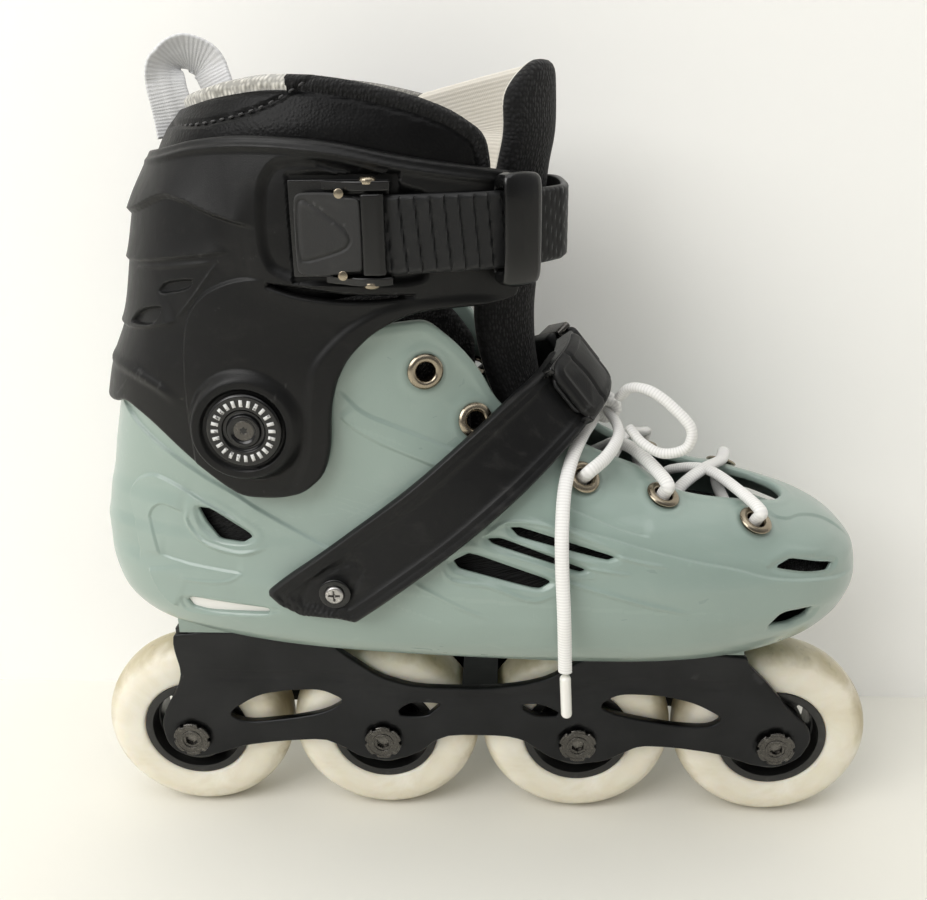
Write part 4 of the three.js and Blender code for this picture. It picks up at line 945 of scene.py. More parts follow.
SHELL_DISHES = [
    ([(-103, 156.5), (-95, 156.8), (-76, 146), (-83, 141.6), (-94, 142.2), (-101.5, 148)], 0.8, 2.0),
    ([(9, 154), (17, 153.6), (53, 142), (47, 138.8), (12, 147)], 0.7, 1.6),
    ([(1, 149.5), (9, 150), (43, 137.4), (36, 134.8), (4, 144.4)], 0.7, 1.6),
    ([(-11, 141), (-2, 145), (31, 133.6), (23, 127.6), (-8.5, 135.2)], 0.8, 1.8),
    ([(101, 133.4), (112, 137.4), (136, 130.6), (134.5, 124.8), (120, 126.4)], 1.0, 3.0),
    ([(103.5, 107.6), (110, 117.4), (128, 115.4), (126, 107.6), (115, 105.4)], 1.0, 3.0),
    ([(-112, 119), (-106, 120.8), (-72, 119.6), (-70, 116.4), (-101, 111.4), (-111, 112)], 0.6, 1.6),
]
TOE_LINE = [(107, -19), (109.5, -23), (114.5, -22.6), (121, -17.6), (131, -12.6), (140, -11), (147, -10)]


def level_heights(low, high, step, hidden=None, hidden_step=5.0):
    """Heights whose outlines lie at most a step apart anywhere on the boot."""
    z, out = low, [low]
    while z < high - 1e-6:
        limit = hidden_step if hidden and z < hidden else step
        dz = step
        while dz > 0.06:
            a, b = section_at(z), section_at(min(z + dz, high))
            if max(abs(b[0] - a[0]), abs(b[1] - a[1]), dz) <= limit:
                break
            dz *= 0.8
        z = min(z + dz, high)
        out.append(z)
    return out


def boot_grid(levels, offset, step):
    count = int(2 * round(720 / step / 2))
    offsets = [offset(z) if callable(offset) else offset for z in levels]
    return np.stack([boot_ring(z, o, count) for z, o in zip(levels, offsets)])


class Relief:
    """Raised and sunken detail given by side-view lines: fields, the lines to cut, and the height."""

    def __init__(self, steps=(), ridges=(), dishes=()):
        self.steps = [(spline(line, 2.5), *rest) for line, *rest in steps]
        self.ridges = [(spline(line, 2.5), *rest) for line, *rest in ridges]
        self.dishes = [(rounded(line), *rest) for line, *rest in dishes]

    def fields(self, points, normals):
        flat, out = points[:, [0, 2]], []
        for line, *_ in self.steps + self.ridges:
            d, side, share, way = to_line(flat, line)
            out += [over_surface(d, way, normals, (0, 2)) * side, share + 1]
        for outline, *_ in self.dishes:
            out.append(outline_field(points, normals, outline))
        return out

    def cuts(self, start):
        found, k = [], start
        for _, _, width, *_ in self.steps + self.ridges:
            found += [(k, -width / 2), (k, 0), (k, width / 2)]
            k += 2
        for _, _, width in self.dishes:
            found += [(k, 0.05), (k, width / 2), (k, width)]
            k += 1
        return found

    def height(self, fields, start):
        total, k = np.zeros(len(fields)), start
        for _, rise, width, fall in self.steps:
            f, share = fields[:, k], fields[:, k + 1] - 1
            ends = smooth(share / 0.08) * smooth((1 - share) / 0.12)
            total += rise * ends * smooth((f + width / 2) / width) * np.exp(-np.clip(f, 0, None) / fall)
            k += 2
        for _, rise, width in self.ridges:
            f, share = fields[:, k], fields[:, k + 1] - 1
            total += rise * smooth(share / 0.15) * smooth((1 - share) / 0.25) * smooth(1 - np.abs(f) / width)
            k += 2
        for _, depth, width in self.dishes:
            total -= depth * smooth(fields[:, k] / width)
            k += 1
        return total


def make_shell():
    step = 1.6
    grid = boot_grid(level_heights(84, 226, step, hidden=99), 0, step)
    right = [(x, -y) for x, y in THROAT_HALF]
    throat = rounded(right + [(118, 0)] + [(x, y) for x, y in THROAT_HALF[::-1]])
    rim = rounded(SHELL_RIM)
    side_holes = [rounded(o, 2, 0.1) for o in SIDE_VENTS + [HEEL_SLOT]]
    toe_holes = [rounded(o, 2, 0.1) for o in TOE_VENTS]
    detail = Relief([(line, 1.35 * rise, *rest) for line, rise, *rest in SHELL_STEPS], SHELL_RIDGES,
                    SHELL_DISHES)
    toe_lines = [spline([(x, -side * y) for x, y in TOE_LINE], 2) for side in (-1, 1)]

    def fields_at(points, normals):
        offside = points[:, 1] - toe_swing(points[:, 0])
        keep = -outline_field(points, normals, rim)
        unswung = np.stack([points[:, 0], offside, points[:, 2]], -1)
        opening = -outline_field(unswung, normals, throat, (0, 1))
        keep = np.minimum(keep, np.where(points[:, 2] > 131, opening, 99))
        for holes, beyond in ((side_holes, 26), (toe_holes, 12)):
            for hole in holes:
                keep = np.minimum(keep,
                                  np.where(np.abs(offside) > beyond, -outline_field(points, normals, hole),
                                           99))
        for side in (-1, 1):
            for x, z in EYELETS:
                axis = surface_normal(x, z, side)
                off = points - surface_point(x, z, side)
                along = off @ axis
                hole = np.linalg.norm(off - along[:, None] * axis, axis=-1) - 4.5
                keep = np.minimum(keep, np.where(np.abs(along) < 12, hole, 99))
        out = [keep]
        for side, line in zip((-1, 1), toe_lines):
            d, which, share, way = to_line(unswung[:, :2], line)
            out += [over_surface(d, way, normals, (0, 1)) * which * side, share + 1]
        return np.stack(out + detail.fields(points, normals), -1)

    def height_of(fields, p):
        total = detail.height(fields, 5)
        for k in (1, 3):
            f, share = fields[:, k], fields[:, k + 1] - 1
            total -= (0.8 * smooth((f + 0.6) / 1.2) * np.exp(-np.clip(f, 0, None) / 9) * smooth(share / 0.1)
                      * smooth((1 - share) / 0.3) * smooth((p[:, 2] - 112) / 6))
        keep = fields[:, 0]
        total += 0.3 * np.exp(-((keep - 3.2) / 1.6) ** 2) * (p[:, 2] > 134)
        hidden = (p[:, 0] < -40) & (p[:, 2] > 190)
        return np.where(hidden, np.minimum(total, 0.3), total)
    cuts = [(1, -0.6), (1, 0.6), (3, -0.6), (3, 0.6)] + detail.cuts(5)
    mesh = fine_sheet(grid, fields_at, SHELL_WALL, cuts, height_of, edge=1.3, rounds=2)
    sole = prism([(x, y) for x, y in boot_ring(84.3, -0.2, 60)[:, :2]], 84.0, 87.4, lambda u, v, h: (u, v, h))
    blocks = [prism([(x0, -y), (x1, -y), (x1, y), (x0, y)], z0, z1, lambda u, v, h: (u, v, h))
              for x0, x1, y, z0, z1 in ((-121, -63, 17, 91.35, 110), (46, 105, 16.5, 83.55, 95))]
    piece("boot_shell", merged(mesh[:3], sole, *blocks), "boot_and_frame", MAT["shell"], ["shell"])
    # A pale plate closes the low slot from inside.
    for word, side in (("right", -1), ("left", 1)):
        xs, zs = np.arange(-112, -72, 2.0), np.arange(111, 122.1, 2.0)
        plate = np.array([[surface_point(x, z, side, -2.3) for x in xs] for z in zs])
        normals = np.array([[surface_normal(x, z, side) for x in xs] for z in zs])
        piece(f"heel_slot_plate_{word}",
              slab(plate, np.full(plate.shape[:2], 9.0), 0.9, edge=0.3, normals=normals),
              "boot_and_frame", MAT["pale"])


MAT["pale"] = plastic("pale_plate", (0.86, 0.85, 0.82), 0.4, wear=0.1)
make_shell()

# ---------------------------------------------------------------- cuff and relief
CUFF_SIDE = [(-170, 189), (-132, 191), (-124, 194.5), (-113, 188.6), (-98.5, 175), (-88, 166.5), (-81, 162.3),
             (-68, 162.6), (-59, 165), (-51.5, 171.7), (-48.2, 182), (-47, 197), (-44.5, 206), (-40.5, 213.5),
             (-33, 220.7), (-24, 225.6), (-15.6, 228), (12, 228.4), (15.4, 231.5), (19.2, 264), (17, 269.5),
             (3, 272), (-21, 276), (-44, 281), (-70, 282.7), (-87, 281.4), (-101, 278.5), (-112, 277),
             (-170, 277)]
CUFF_SLIT = [(-67, 238), (-56, 236.6), (-38, 233.6), (-14, 233.2), (-38, 231.6), (-56, 234)]
CUFF_TOP = [(17.5, 266.6), (3, 268.6), (-21, 272.6), (-44, 277.4), (-70, 279.2), (-87, 277.9), (-101, 275),
            (-112, 273.6),
            (-126, 273)]
CUFF_STEPS = [
    ([(-134, 256.4), (-122, 256.6), (-112, 258.8), (-103, 262.4), (-97, 264), (-90, 262.4), (-80, 258.6),
      (-66, 255)],
     2.0, 1.6, 9),
    ([(-134, 239.6), (-114.1, 242.3), (-95, 245), (-76, 247.4)], 1.3, 1.3, 7),
    ([(-97.2, 170), (-97.2, 186), (-96.8, 199.4), (-95.6, 217.7), (-93.2, 226.4), (-87.9, 233.1),
      (-79.4, 237.6),
      (-71.3, 239.3), (-64, 238.6)], -0.9, 1.3, 34),
    ([(11.6, 229.6), (-1.3, 231.2), (-17.1, 231), (-28.8, 228.8), (-38.5, 224.2), (-46.2, 217.9),
      (-52.1, 210.4),
      (-54.3, 200.9), (-55.1, 191.8), (-57.3, 178.1), (-63, 167.5), (-72, 166.4)], 1.0, 3.4, 12),
    ([(-134, 219), (-117.5, 219.8), (-104.2, 222.4), (-97.6, 224.4)], 1.2, 1.2, 8),
]
CUFF_RIDGES = [(CUFF_TOP, 0.9, 1.6), ([(-114.3, 240.4), (-97, 242.4), (-81.2, 244.4)], 0.35, 0.8),
               ([(-80.9, 244.4), (-86, 238.5), (-91.6, 232), (-99.2, 224.3)], 0.45, 0.9),
               ([(-135, 207), (-120, 206), (-108, 202), (-99, 196)], 0.8, 3.2)]
CUFF_DISHES = [
    ([(-53, 277), (-61, 275.6), (-65.6, 269.4), (-66.9, 257.6), (-66.9, 248.4), (-64.4, 241.6),
      (-57.5, 238.2),
      (-44.9, 237.2), (-21.6, 235.9), (-13, 237.5), (-11, 252), (-13, 266), (-19.7, 268.1), (-30.5, 273.2),
      (-42.3, 276.2)], 2.0, 3.6),
    ([(-52, 276.2), (-42.3, 275.6), (-30.5, 272.6), (-21.5, 268.9), (-19.8, 267.9), (-30, 268.6),
      (-44, 271.6)], 0.7, 1.4),
    ([(-104.6, 234.1), (-101.6, 237.4), (-89.6, 239.2), (-92, 235), (-103.2, 232.7)], 1.3, 0.9),
    ([(-119, 220.8), (-113, 227.5), (-102.1, 229.8), (-104.9, 224.2), (-108.6, 221.6)], 1.8, 1.2),
]


def make_cuff():
    step = 1.6
    grid = boot_grid(level_heights(158, 286, step), CUFF_OUTER, step)
    outline, slit = rounded(CUFF_SIDE), rounded(CUFF_SLIT)
    detail = Relief(CUFF_STEPS, CUFF_RIDGES, CUFF_DISHES)

    def fields_at(points, normals):
        keep = outline_field(points, normals, outline)
        gap = -outline_field(points, normals, slit)
        keep = np.minimum(keep, np.where(np.abs(points[:, 1]) > 20, gap, 99))
        reach = np.hypot(points[:, 0] - PIVOT_X, points[:, 2] - PIVOT_Z)
        return np.stack([keep, reach - 13.3, reach - 18.5] + detail.fields(points, normals), -1)

    def height_of(fields, p):
        total = detail.height(fields, 3)
        around = np.hypot((p[:, 0] + 38) / 44, (p[:, 2] - 256) / 25)
        total += 1.9 * smooth((1.25 - around) / 0.7) * smooth((p[:, 0] + 84) / 20)
        # A round seat for the pivot cap, with a flat rim round it.
        reach, beside = fields[:, 1] + 13.3, np.abs(p[:, 1])
        rim, seat = PIVOT_SEAT + 1.4 - beside, PIVOT_SEAT - beside
        total += (rim - total) * smooth((20.5 - reach) / 4.5)
        total = np.where(reach < 14.2, seat + (rim - seat) * smooth((reach - 13.3) / 0.9), total)
        under = (p[:, 0] > -56.5) & (p[:, 0] < -22) & (p[:, 2] > 238) & (p[:, 2] < 271)
        return np.where(under, np.minimum(total, POCKET_FLOOR - 0.1 - beside), total)
    cuts = [(1, 0), (1, 0.9), (2, -2.5), (2, 2.0)] + detail.cuts(3)
    mesh = fine_sheet(grid, fields_at, CUFF_OUTER - CUFF_INNER, cuts, height_of, edge=1.35,
                      rounds=2)
    piece("ankle_cuff", mesh, "cuff_body", MAT["cuff"], ["cuff"])


make_cuff()


# ---------------------------------------------------------------- round hardware
def disc(radius, height, centre, axis, hole=0.0, notches=0, notch=(0, 0), recess=None, segments=96, edge=0.35,
         wall=None):
    """A round head seen face on: its face may carry edge notches and a driver recess."""
    w = unit(axis)
    helper = np.array([0, 0, 1.0]) if abs(w[2]) < 0.9 else np.array([1.0, 0, 0])
    u = unit(np.cross(w, helper))
    v = np.cross(w, u)
    radii = np.concatenate([[0.001], np.arange(0.35, radius + 1.2, 0.35)])
    a = np.arange(segments) / segments * 2 * PI
    rr, aa = np.meshgrid(radii, a, indexing="ij")
    px, py = rr * np.cos(aa), rr * np.sin(aa)
    points = np.asarray(centre, float) + w * height + px[..., None] * u + py[..., None] * v
    keep = radius - rr
    if notches:
        spread = (aa * notches / 2 / PI + 0.5) % 1 - 0.5
        around = np.hypot((spread / notches * 2 * PI) * rr, rr - radius)
        keep = np.minimum(keep, around - notch[0])
    if hole:
        keep = np.minimum(keep, rr - hole)
    height_field = np.zeros(rr.shape)
    lines = []
    if recess == "hex":
        field = np.max([np.cos(aa - k * PI / 3) * rr for k in range(6)], 0) - radius * 0.3
        height_field -= 1.6 * smooth(-field / 0.25)
        lines = [(field, 0.0), (field, -0.25)]
    if recess == "cross":
        arm = np.minimum(np.abs(px), np.abs(py)) - 0.42
        field = np.maximum(arm, rr - radius * 0.62)
        height_field -= 1.1 * smooth(-field / 0.3)
        lines = [(field, 0.0)]
    normals = np.broadcast_to(w, points.shape)
    return slab(points, keep, wall or height, height_field, edge=edge, wrap=True, normals=normals,
                lines=lines,
                uv=(px, py), inner=0)[:3]


def ring_on(profile, centre, axis, segments=48, radius=0.3):
    return lathe(rounded_profile(profile, radius, 3, closed=True), segments, centre, axis, closed=True)


def make_wheels():
    tyre = rounded_profile([(22.2, -11.4), (26, -11.8), (31, -12), (35, -10.9), (38.3, -8), (39.7, -4.2),
                            (40, 0),
                            (39.7, 4.2), (38.3, 8), (35, 10.9), (31, 12), (26, 11.8), (22.2, 11.4)], 2.4, 4,
                           closed=True)
    tyre[:, 0] = np.minimum(tyre[:, 0], 40)
    hub_rim = [(19, -11), (22.2, -11), (22.2, 11), (19, 11), (19, 3.5), (18.2, 3.5), (18.2, -3.5), (19, -3.5)]
    hub_core = [(11.4, -12), (14, -12), (14, -3.5), (15, -3.5), (15, 3.5), (14, 3.5), (14, 12), (11.4, 12),
                (11.4, 4.8), (8, 4.8), (8, -4.8), (11.4, -4.8)]
    radii, a = np.arange(14, 19.6, 0.4), np.arange(180) / 180 * 2 * PI
    rr, aa = np.meshgrid(radii, a, indexing="ij")
    web = np.stack([rr * np.cos(aa), np.full(rr.shape, -3.5), rr * np.sin(aa)], -1)
    turn = (aa / (2 * PI) * 5 - 0.25 + 0.5) % 1 - 0.5
    window = np.minimum((0.34 - np.abs(turn)) * 2 * PI / 5 * rr, np.minimum(rr - 14.8, 18.3 - rr))
    spokes = slab(web, -window, 7, wrap=True, edge=0.6, normals=np.broadcast_to([0, -1.0, 0], web.shape),
                  uv=(rr, aa * 16))[:3]
    for index, x in enumerate(AXLE_X):
        n = index + 1
        centre = (0, 0, 0)
        made = [piece(f"tyre_{n}", lathe(tyre, 128, centre, closed=True), f"wheel_{n}", MAT["tyre"],
                      [f"wheel_{n}_tyre"], ride=False)]
        made.append(piece(f"core_{n}", merged(ring_on(hub_rim, centre, (0, -1, 0), 96), spokes,
                                              ring_on(hub_core, centre, (0, -1, 0), 64)),
                          f"wheel_{n}", MAT["hub"], [f"wheel_{n}_hub"], flat_angle=35, ride=False))
        for word, side in (("right", -1), ("left", 1)):
            races = [ring_on([(8.6, 5), (10.95, 5), (10.95, 12), (8.6, 12)], centre, (0, side, 0), 64),
                     ring_on([(4.4, 5), (6.2, 5), (6.2, 12), (4.4, 12)], centre, (0, side, 0), 48),
                     ring_on([(6.2, 5.6), (8.6, 5.6), (8.6, 11.4), (6.2, 11.4)], centre, (0, side, 0), 48)]
            made.append(piece(f"bearing_{n}_{word}", merged(*races), f"wheel_{n}", MAT["steel"],
                              [f"wheel_{n}_bearing_{word}"], flat_angle=35, ride=False))
        heads = []
        for side in (-1, 1):
            heads.append(disc(7.7, 18.35, centre, (0, side, 0), notches=6, notch=(0.95, 0), recess="hex",
                              edge=0.5, wall=1.5, segments=144))
            heads.append(ring_on([(3.6, 18.0), (4.5, 18.0), (4.5, 18.7), (3.6, 18.7)], centre, (0, side, 0),
                                 48, 0.25))
            heads.append(ring_on([(6.2, 18.0), (6.6, 18.0), (6.6, 18.5), (6.2, 18.5)], centre, (0, side, 0),
                                 64, 0.15))
        shank = lathe([(0, -17), (3.95, -17), (3.95, -4.6), (5.2, -4.6), (5.2, 4.6), (3.95, 4.6), (3.95, 17),
                       (0, 17)],
                      32, centre, (0, 1, 0))
        made.append(piece(f"axle_{n}", merged(*heads, shank), f"wheel_{n}", MAT["dark_steel"],
                          [f"wheel_{n}_axle"], flat_angle=35, ride=False))
        for obj in made:
            obj.location = (x * MM, 0, WHEEL_RADIUS * MM)
            bpy.context.view_layer.update()
            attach(obj, f"wheel_{n}")


make_wheels()

# ----------------------------------------------------------------------- frame
FRAME_SIDE = [(-124, 91), (-125, 84), (-123, 72), (-125, 65), (-131, 55), (-134, 47), (-133, 37), (-129, 32),
              (-122, 29.5), (-115, 30.5), (-108, 33), (-100, 36), (-85, 38.5), (-66, 40), (-59, 37),
              (-50, 31),
              (-40, 29.5), (-32, 31), (-24, 35), (-19, 40), (-12, 43), (10, 43), (18, 41), (23, 37),
              (31, 31.5),
              (41, 29.5), (52, 31), (59, 35), (66, 39), (80, 38.5), (97, 36), (106, 33), (114, 30),
              (124, 29.5),
              (132, 34), (136, 43), (134, 50), (126, 57), (116, 70), (108, 78), (106, 83.2), (48, 83.2),
              (38, 78),
              (28, 71), (18, 68), (4, 66), (-20, 66), (-29, 67), (-41, 71), (-53, 80), (-59, 85), (-62, 91)]
FRAME_SLOTS = [[(-106, 52), (-92, 61.5), (-78, 64), (-65, 64.5), (-55, 59), (-65, 53), (-79, 50),
                (-98, 47.5)],
               [(-34, 55), (-28, 59), (-15, 58.5), (-19, 55), (-22, 52), (-33, 52)],
               [(16, 57.5), (20, 59), (26, 58.5), (34, 54), (31, 53), (23, 53)],
               [(48, 58), (56, 64), (68, 64), (77, 63), (88, 60), (100, 53), (94, 48.5), (78, 49.5),
                (58, 53.5)]]
BOLTS = [("rear_mount_bolt", -88, 91, 5.4), ("front_mount_bolt", 81, 83.2, 4.6)]


def make_frame():
    step = 1.6
    xs, zs = np.arange(-138, 140, step), np.arange(26, 95, step)
    gx, gz = np.meshgrid(xs, zs)
    flat = np.stack([gx, gz], -1)
    keep = signed(flat, rounded(FRAME_SIDE, 1))
    for slot_outline in FRAME_SLOTS:
        keep = np.minimum(keep, -signed(flat, rounded(slot_outline)))
    height = np.zeros(gx.shape)
    lines = []
    for x in AXLE_X:
        reach = np.hypot(gx - x, gz - WHEEL_RADIUS)
        keep = np.minimum(keep, reach - 4.5)
        height -= 0.3 * smooth((8.9 - reach) / 0.4)
        lines += [(reach, 8.5), (reach, 8.9)]
    # A shallow channel follows the lower rail between the wheels, and a chamfer the edge.
    beam = spline([(-120, 72), (-100, 70.5), (-60, 71), (-40, 64.5), (-5, 61.5), (30, 63.5), (56, 69),
                   (90, 69.5), (112, 66)], 2)
    d, _, share, _ = to_line(flat, beam)
    height -= 0.35 * smooth((2.6 - d) / 0.8) * smooth(share / 0.05) * smooth((1 - share) / 0.05)
    lines += [(d, 1.8), (d, 2.6)]
    plates = []
    for side in (-1, 1):
        points = np.stack([gx, np.full(gx.shape, side * FRAME_OUTER), gz], -1)
        normals = np.broadcast_to([0, float(side), 0], points.shape)
        plates.append(slab(points, keep, FRAME_OUTER - FRAME_INNER, height, edge=0.7, normals=normals,
                           lines=lines, uv=(gx, gz), flip=False)[:3])
    teeth = []
    for x in np.arange(-122.5, -64, 2.3):
        teeth.append(prism([(x, 90.6), (x + 1.5, 90.6), (x + 1.5, 91.33), (x, 91.33)], -16.2, 16.2))
    decks = [prism([(-124, 86), (-124, 91), (-62, 91), (-60, 87), (-66, 85.8)], -13.4, 13.4),
             prism([(48, 83.2), (106, 83.2), (105, 79), (62, 78.6), (50, 79.6)], -13.4, 13.4),
             prism([(-7.3, 66), (-1, 57.6), (1, 57.6), (7.3, 66)], -13.4, 13.4)]
    piece("side_frame", merged(*plates, *decks, *teeth), "boot_and_frame", MAT["frame"], ["frame"],
          flat_angle=40)
    for name, x, top, deck in BOLTS:
        seat = top - deck - 0.35
        profile = rounded_profile([(0, seat - 3.6), (2.9, seat - 3.6), (2.9, seat - 1.2), (3.1, seat - 1.2),
                                   (3.1, seat - 3.6), (6.6, seat - 3.6), (6.6, seat), (4, seat), (4, top + 6),
                                   (0, top + 6)], 0.3)
        piece(name + "_detail", lathe(profile, 48, (x, 0, 0), (0, 0, 1)), "boot_and_frame",
              MAT["dark_steel"], [name], flat_angle=40)


make_frame()


# ------------------------------------------------------------ eyelets and pivots
# Plain bars stand evenly round each pivot cap.
MARK_COUNT = 24
MARK_RADIUS = 9.6


def make_small_parts():
    for word, side in (("right", -1), ("left", 1)):
        for index, (x, z) in enumerate(EYELETS):
            at, axis = surface_point(x, z, side), surface_normal(x, z, side)
            profile = [(3.1, -4), (4.1, -4), (4.1, 0.35), (5.2, 0.3), (6.1, 0.5), (6.2, 1.0), (5.4, 1.75),
                       (4.3, 2.0),
                       (3.4, 1.5), (3.05, 0.4)]
            piece(f"eyelet_ring_{word}_{index + 1}", ring_on(profile, at, axis, 40, 0.5), "boot_and_frame",
                  MAT["nickel"], [f"eyelet_{word}_{index + 1}"])
        centre, axis = np.array([PIVOT_X, 0, PIVOT_Z], float), (0, side, 0)
        base = PIVOT_SEAT + 0.35
        cap = rounded_profile([(0, 42.6), (5, 42.6), (5, base), (12.6, base), (12.6, base + 1.5),
                               (11.9, base + 2.1),
                               (7.4, base + 1.9), (7.0, base + 1.2), (5.9, base + 1.0), (5.4, base + 2.3),
                               (4.4, base + 2.4),
                               (3.6, base + 1.7), (0, base + 1.5)], 0.3)
        dashes = []
        for k in range(MARK_COUNT):
            a, r = 2 * PI * k / MARK_COUNT, MARK_RADIUS
            c, s = math.cos(a), math.sin(a)
            corners = [(-0.55, -1.15), (0.55, -1.15), (0.55, 1.15), (-0.55, 1.15)]
            quad = [(PIVOT_X + (r + v) * c - u * s, PIVOT_Z + (r + v) * s + u * c) for u, v in corners]
            lo, hi = sorted((side * (base + 1.6), side * (base + 2.35)))
            dashes.append(prism(quad, lo, hi))
        piece(f"pivot_cap_{word}", merged(lathe(cap, 96, centre, axis)), "boot_and_frame",
              MAT["gloss"], [f"pivot_bolt_{word}"], flat_angle=40)
        piece(f"pivot_marks_{word}", merged(*dashes), "boot_and_frame", MAT["mark"])
        piece(f"pivot_drive_{word}", disc(3.5, base + 1.75, centre, axis, recess="hex", edge=0.25, wall=0.6),
              "boot_and_frame", MAT["dark_steel"])


def paint():
    m = Nodes("pad_print")
    worn = m.ramp(m.noise(900, 3), 0.56, 0.66)
    return m.done(m.mix(worn, (0.7, 0.7, 0.69), (0.12, 0.12, 0.12)), 0.5)


MAT["mark"] = paint()
make_small_parts()

# ------------------------------------------------------------------ liner parts
COLLAR_TOP = [(-150, 292), (-104, 293), (-91, 296), (-80, 298.5), (-64, 300.5), (-50, 300), (-36, 298),
              (-17, 293.5),
              (-5, 289), (5, 282), (7, 270), (7, 200), (60, 200), (60, 330), (-150, 330)]
COLLAR_HEM = [(-170, 226.5), (-76, 226.5), (60, 247), (60, 200), (-170, 200)]
COLLAR_SEAM = [(-101, 284.6), (-87.3, 285.1), (-74, 287.2), (-63.1, 290.2), (-57.1, 292.9), (-50.7, 296.4),
               (-46, 299)]


def collar_offset(z):
    return 0.2 - 0.14 * max(z - 284, 0)


def make_collar():
    grid = boot_grid(np.arange(224, 303, 1.8), collar_offset, 1.8)
    top, hem, seam = rounded(COLLAR_TOP), np.array(COLLAR_HEM, float), spline(COLLAR_SEAM, 2)

    def fields_at(points, normals):
        over = -outline_field(points, normals, top)
        under = -outline_field(points, normals, hem)
        d, side, share, way = to_line(points[:, [0, 2]], seam)
        return np.stack([np.minimum(over, under), over - 5.2, over_surface(d, way, normals, (0, 2)) * side,
                         share + 1], -1)

    def height_of(fields, p):
        over, line, share = fields[:, 1] + 5.2, fields[:, 2], fields[:, 3] - 1
        total = -1.0 * smooth(1 - np.abs(line) / 1.5) * smooth(share / 0.06) * smooth((1 - share) / 0.05)
        total += 1.5 * smooth((over - 5) / 12) * smooth((60 - over) / 40)
        total -= 1.3 * smooth(1 - np.abs(over - 5.3) / 1.5)
        return total + 0.7 * smooth((4.4 - over) / 2.4)

    def group_of(values):
        return np.where(values[:, 12] < 0, np.where(values[:, 0] > -56, 1, 2), 0)
    mesh = fine_sheet(grid, fields_at, 8, [(1, -1.4), (1, 0), (1, 1.5), (2, -1.5), (2, 0), (2, 1.5)],
                      height_of,
                      group_of, edge=3.6, rounds=1)
    picked = np.where(mesh[3] >= 100, 3, mesh[3])
    obj = piece("padded_collar", mesh[:3], "cuff_body",
                [MAT["leather"], MAT["knit"], MAT["trim"], MAT["lining_dark"]], ["liner_collar"],
                groups=picked)
    stitches = []
    path = spline([surface_at(x, z) for x, z in COLLAR_SEAM], 0.4)
    for i in range(4, len(path) - 8, 9):
        stitches.append(tube(spline([path[i], path[i + 3] + np.array([0, -0.25, 0.1]), path[i + 5]], 0.4),
                             0.42, 0.36, 8, taper=0.5))
    piece("collar_stitches", merged(*stitches), "cuff_body", MAT["thread"])


def surface_at(x, z, extra=0.55):
    offset = collar_offset(z)
    return surface_point(x, z, -1, offset) + surface_normal(x, z, -1) * extra


def simple_cloth(name, colour, rough=0.7, scale=2600):
    m = Nodes(name)
    m.bump(m.noise(scale, 2), 0.0001)
    shade = m.ramp(m.noise(200, 3), 0.3, 0.7)
    return m.done(m.mix(shade, tint(colour, 0.8), tint(colour, 1.2)), rough, sheen=0.2)


MAT["thread"] = simple_cloth("black_thread", (0.03, 0.03, 0.032), 0.5)
MAT["lining_dark"] = knit("collar_lining", (0.30, 0.29, 0.26), 1.0, 0.0002, bright=1.2)
make_collar()

# x, z, half width to the outer side, half width to the inner side, wing sweep on each side
TONGUE = [(88, 133, 15, 15, 7, 3), (72, 139, 17.5, 17.5, 7, 3), (56, 147, 19.5, 19.5, 7, 3),
          (41, 159, 21, 21, 7, 3),
          (29, 176, 22, 22, 9, 6), (22, 197, 22, 22, 15, 12), (20, 218, 22, 22, 19, 16),
          (21.5, 238, 22, 24, 19, 18),
          (23, 256, 22, 28, 17, 22), (24.5, 270, 23, 33, 15, 32), (26.5, 282, 23.5, 37, 15, 42),
          (26.5, 294, 23, 38, 15, 46), (26, 304, 20, 38, 12, 46)]


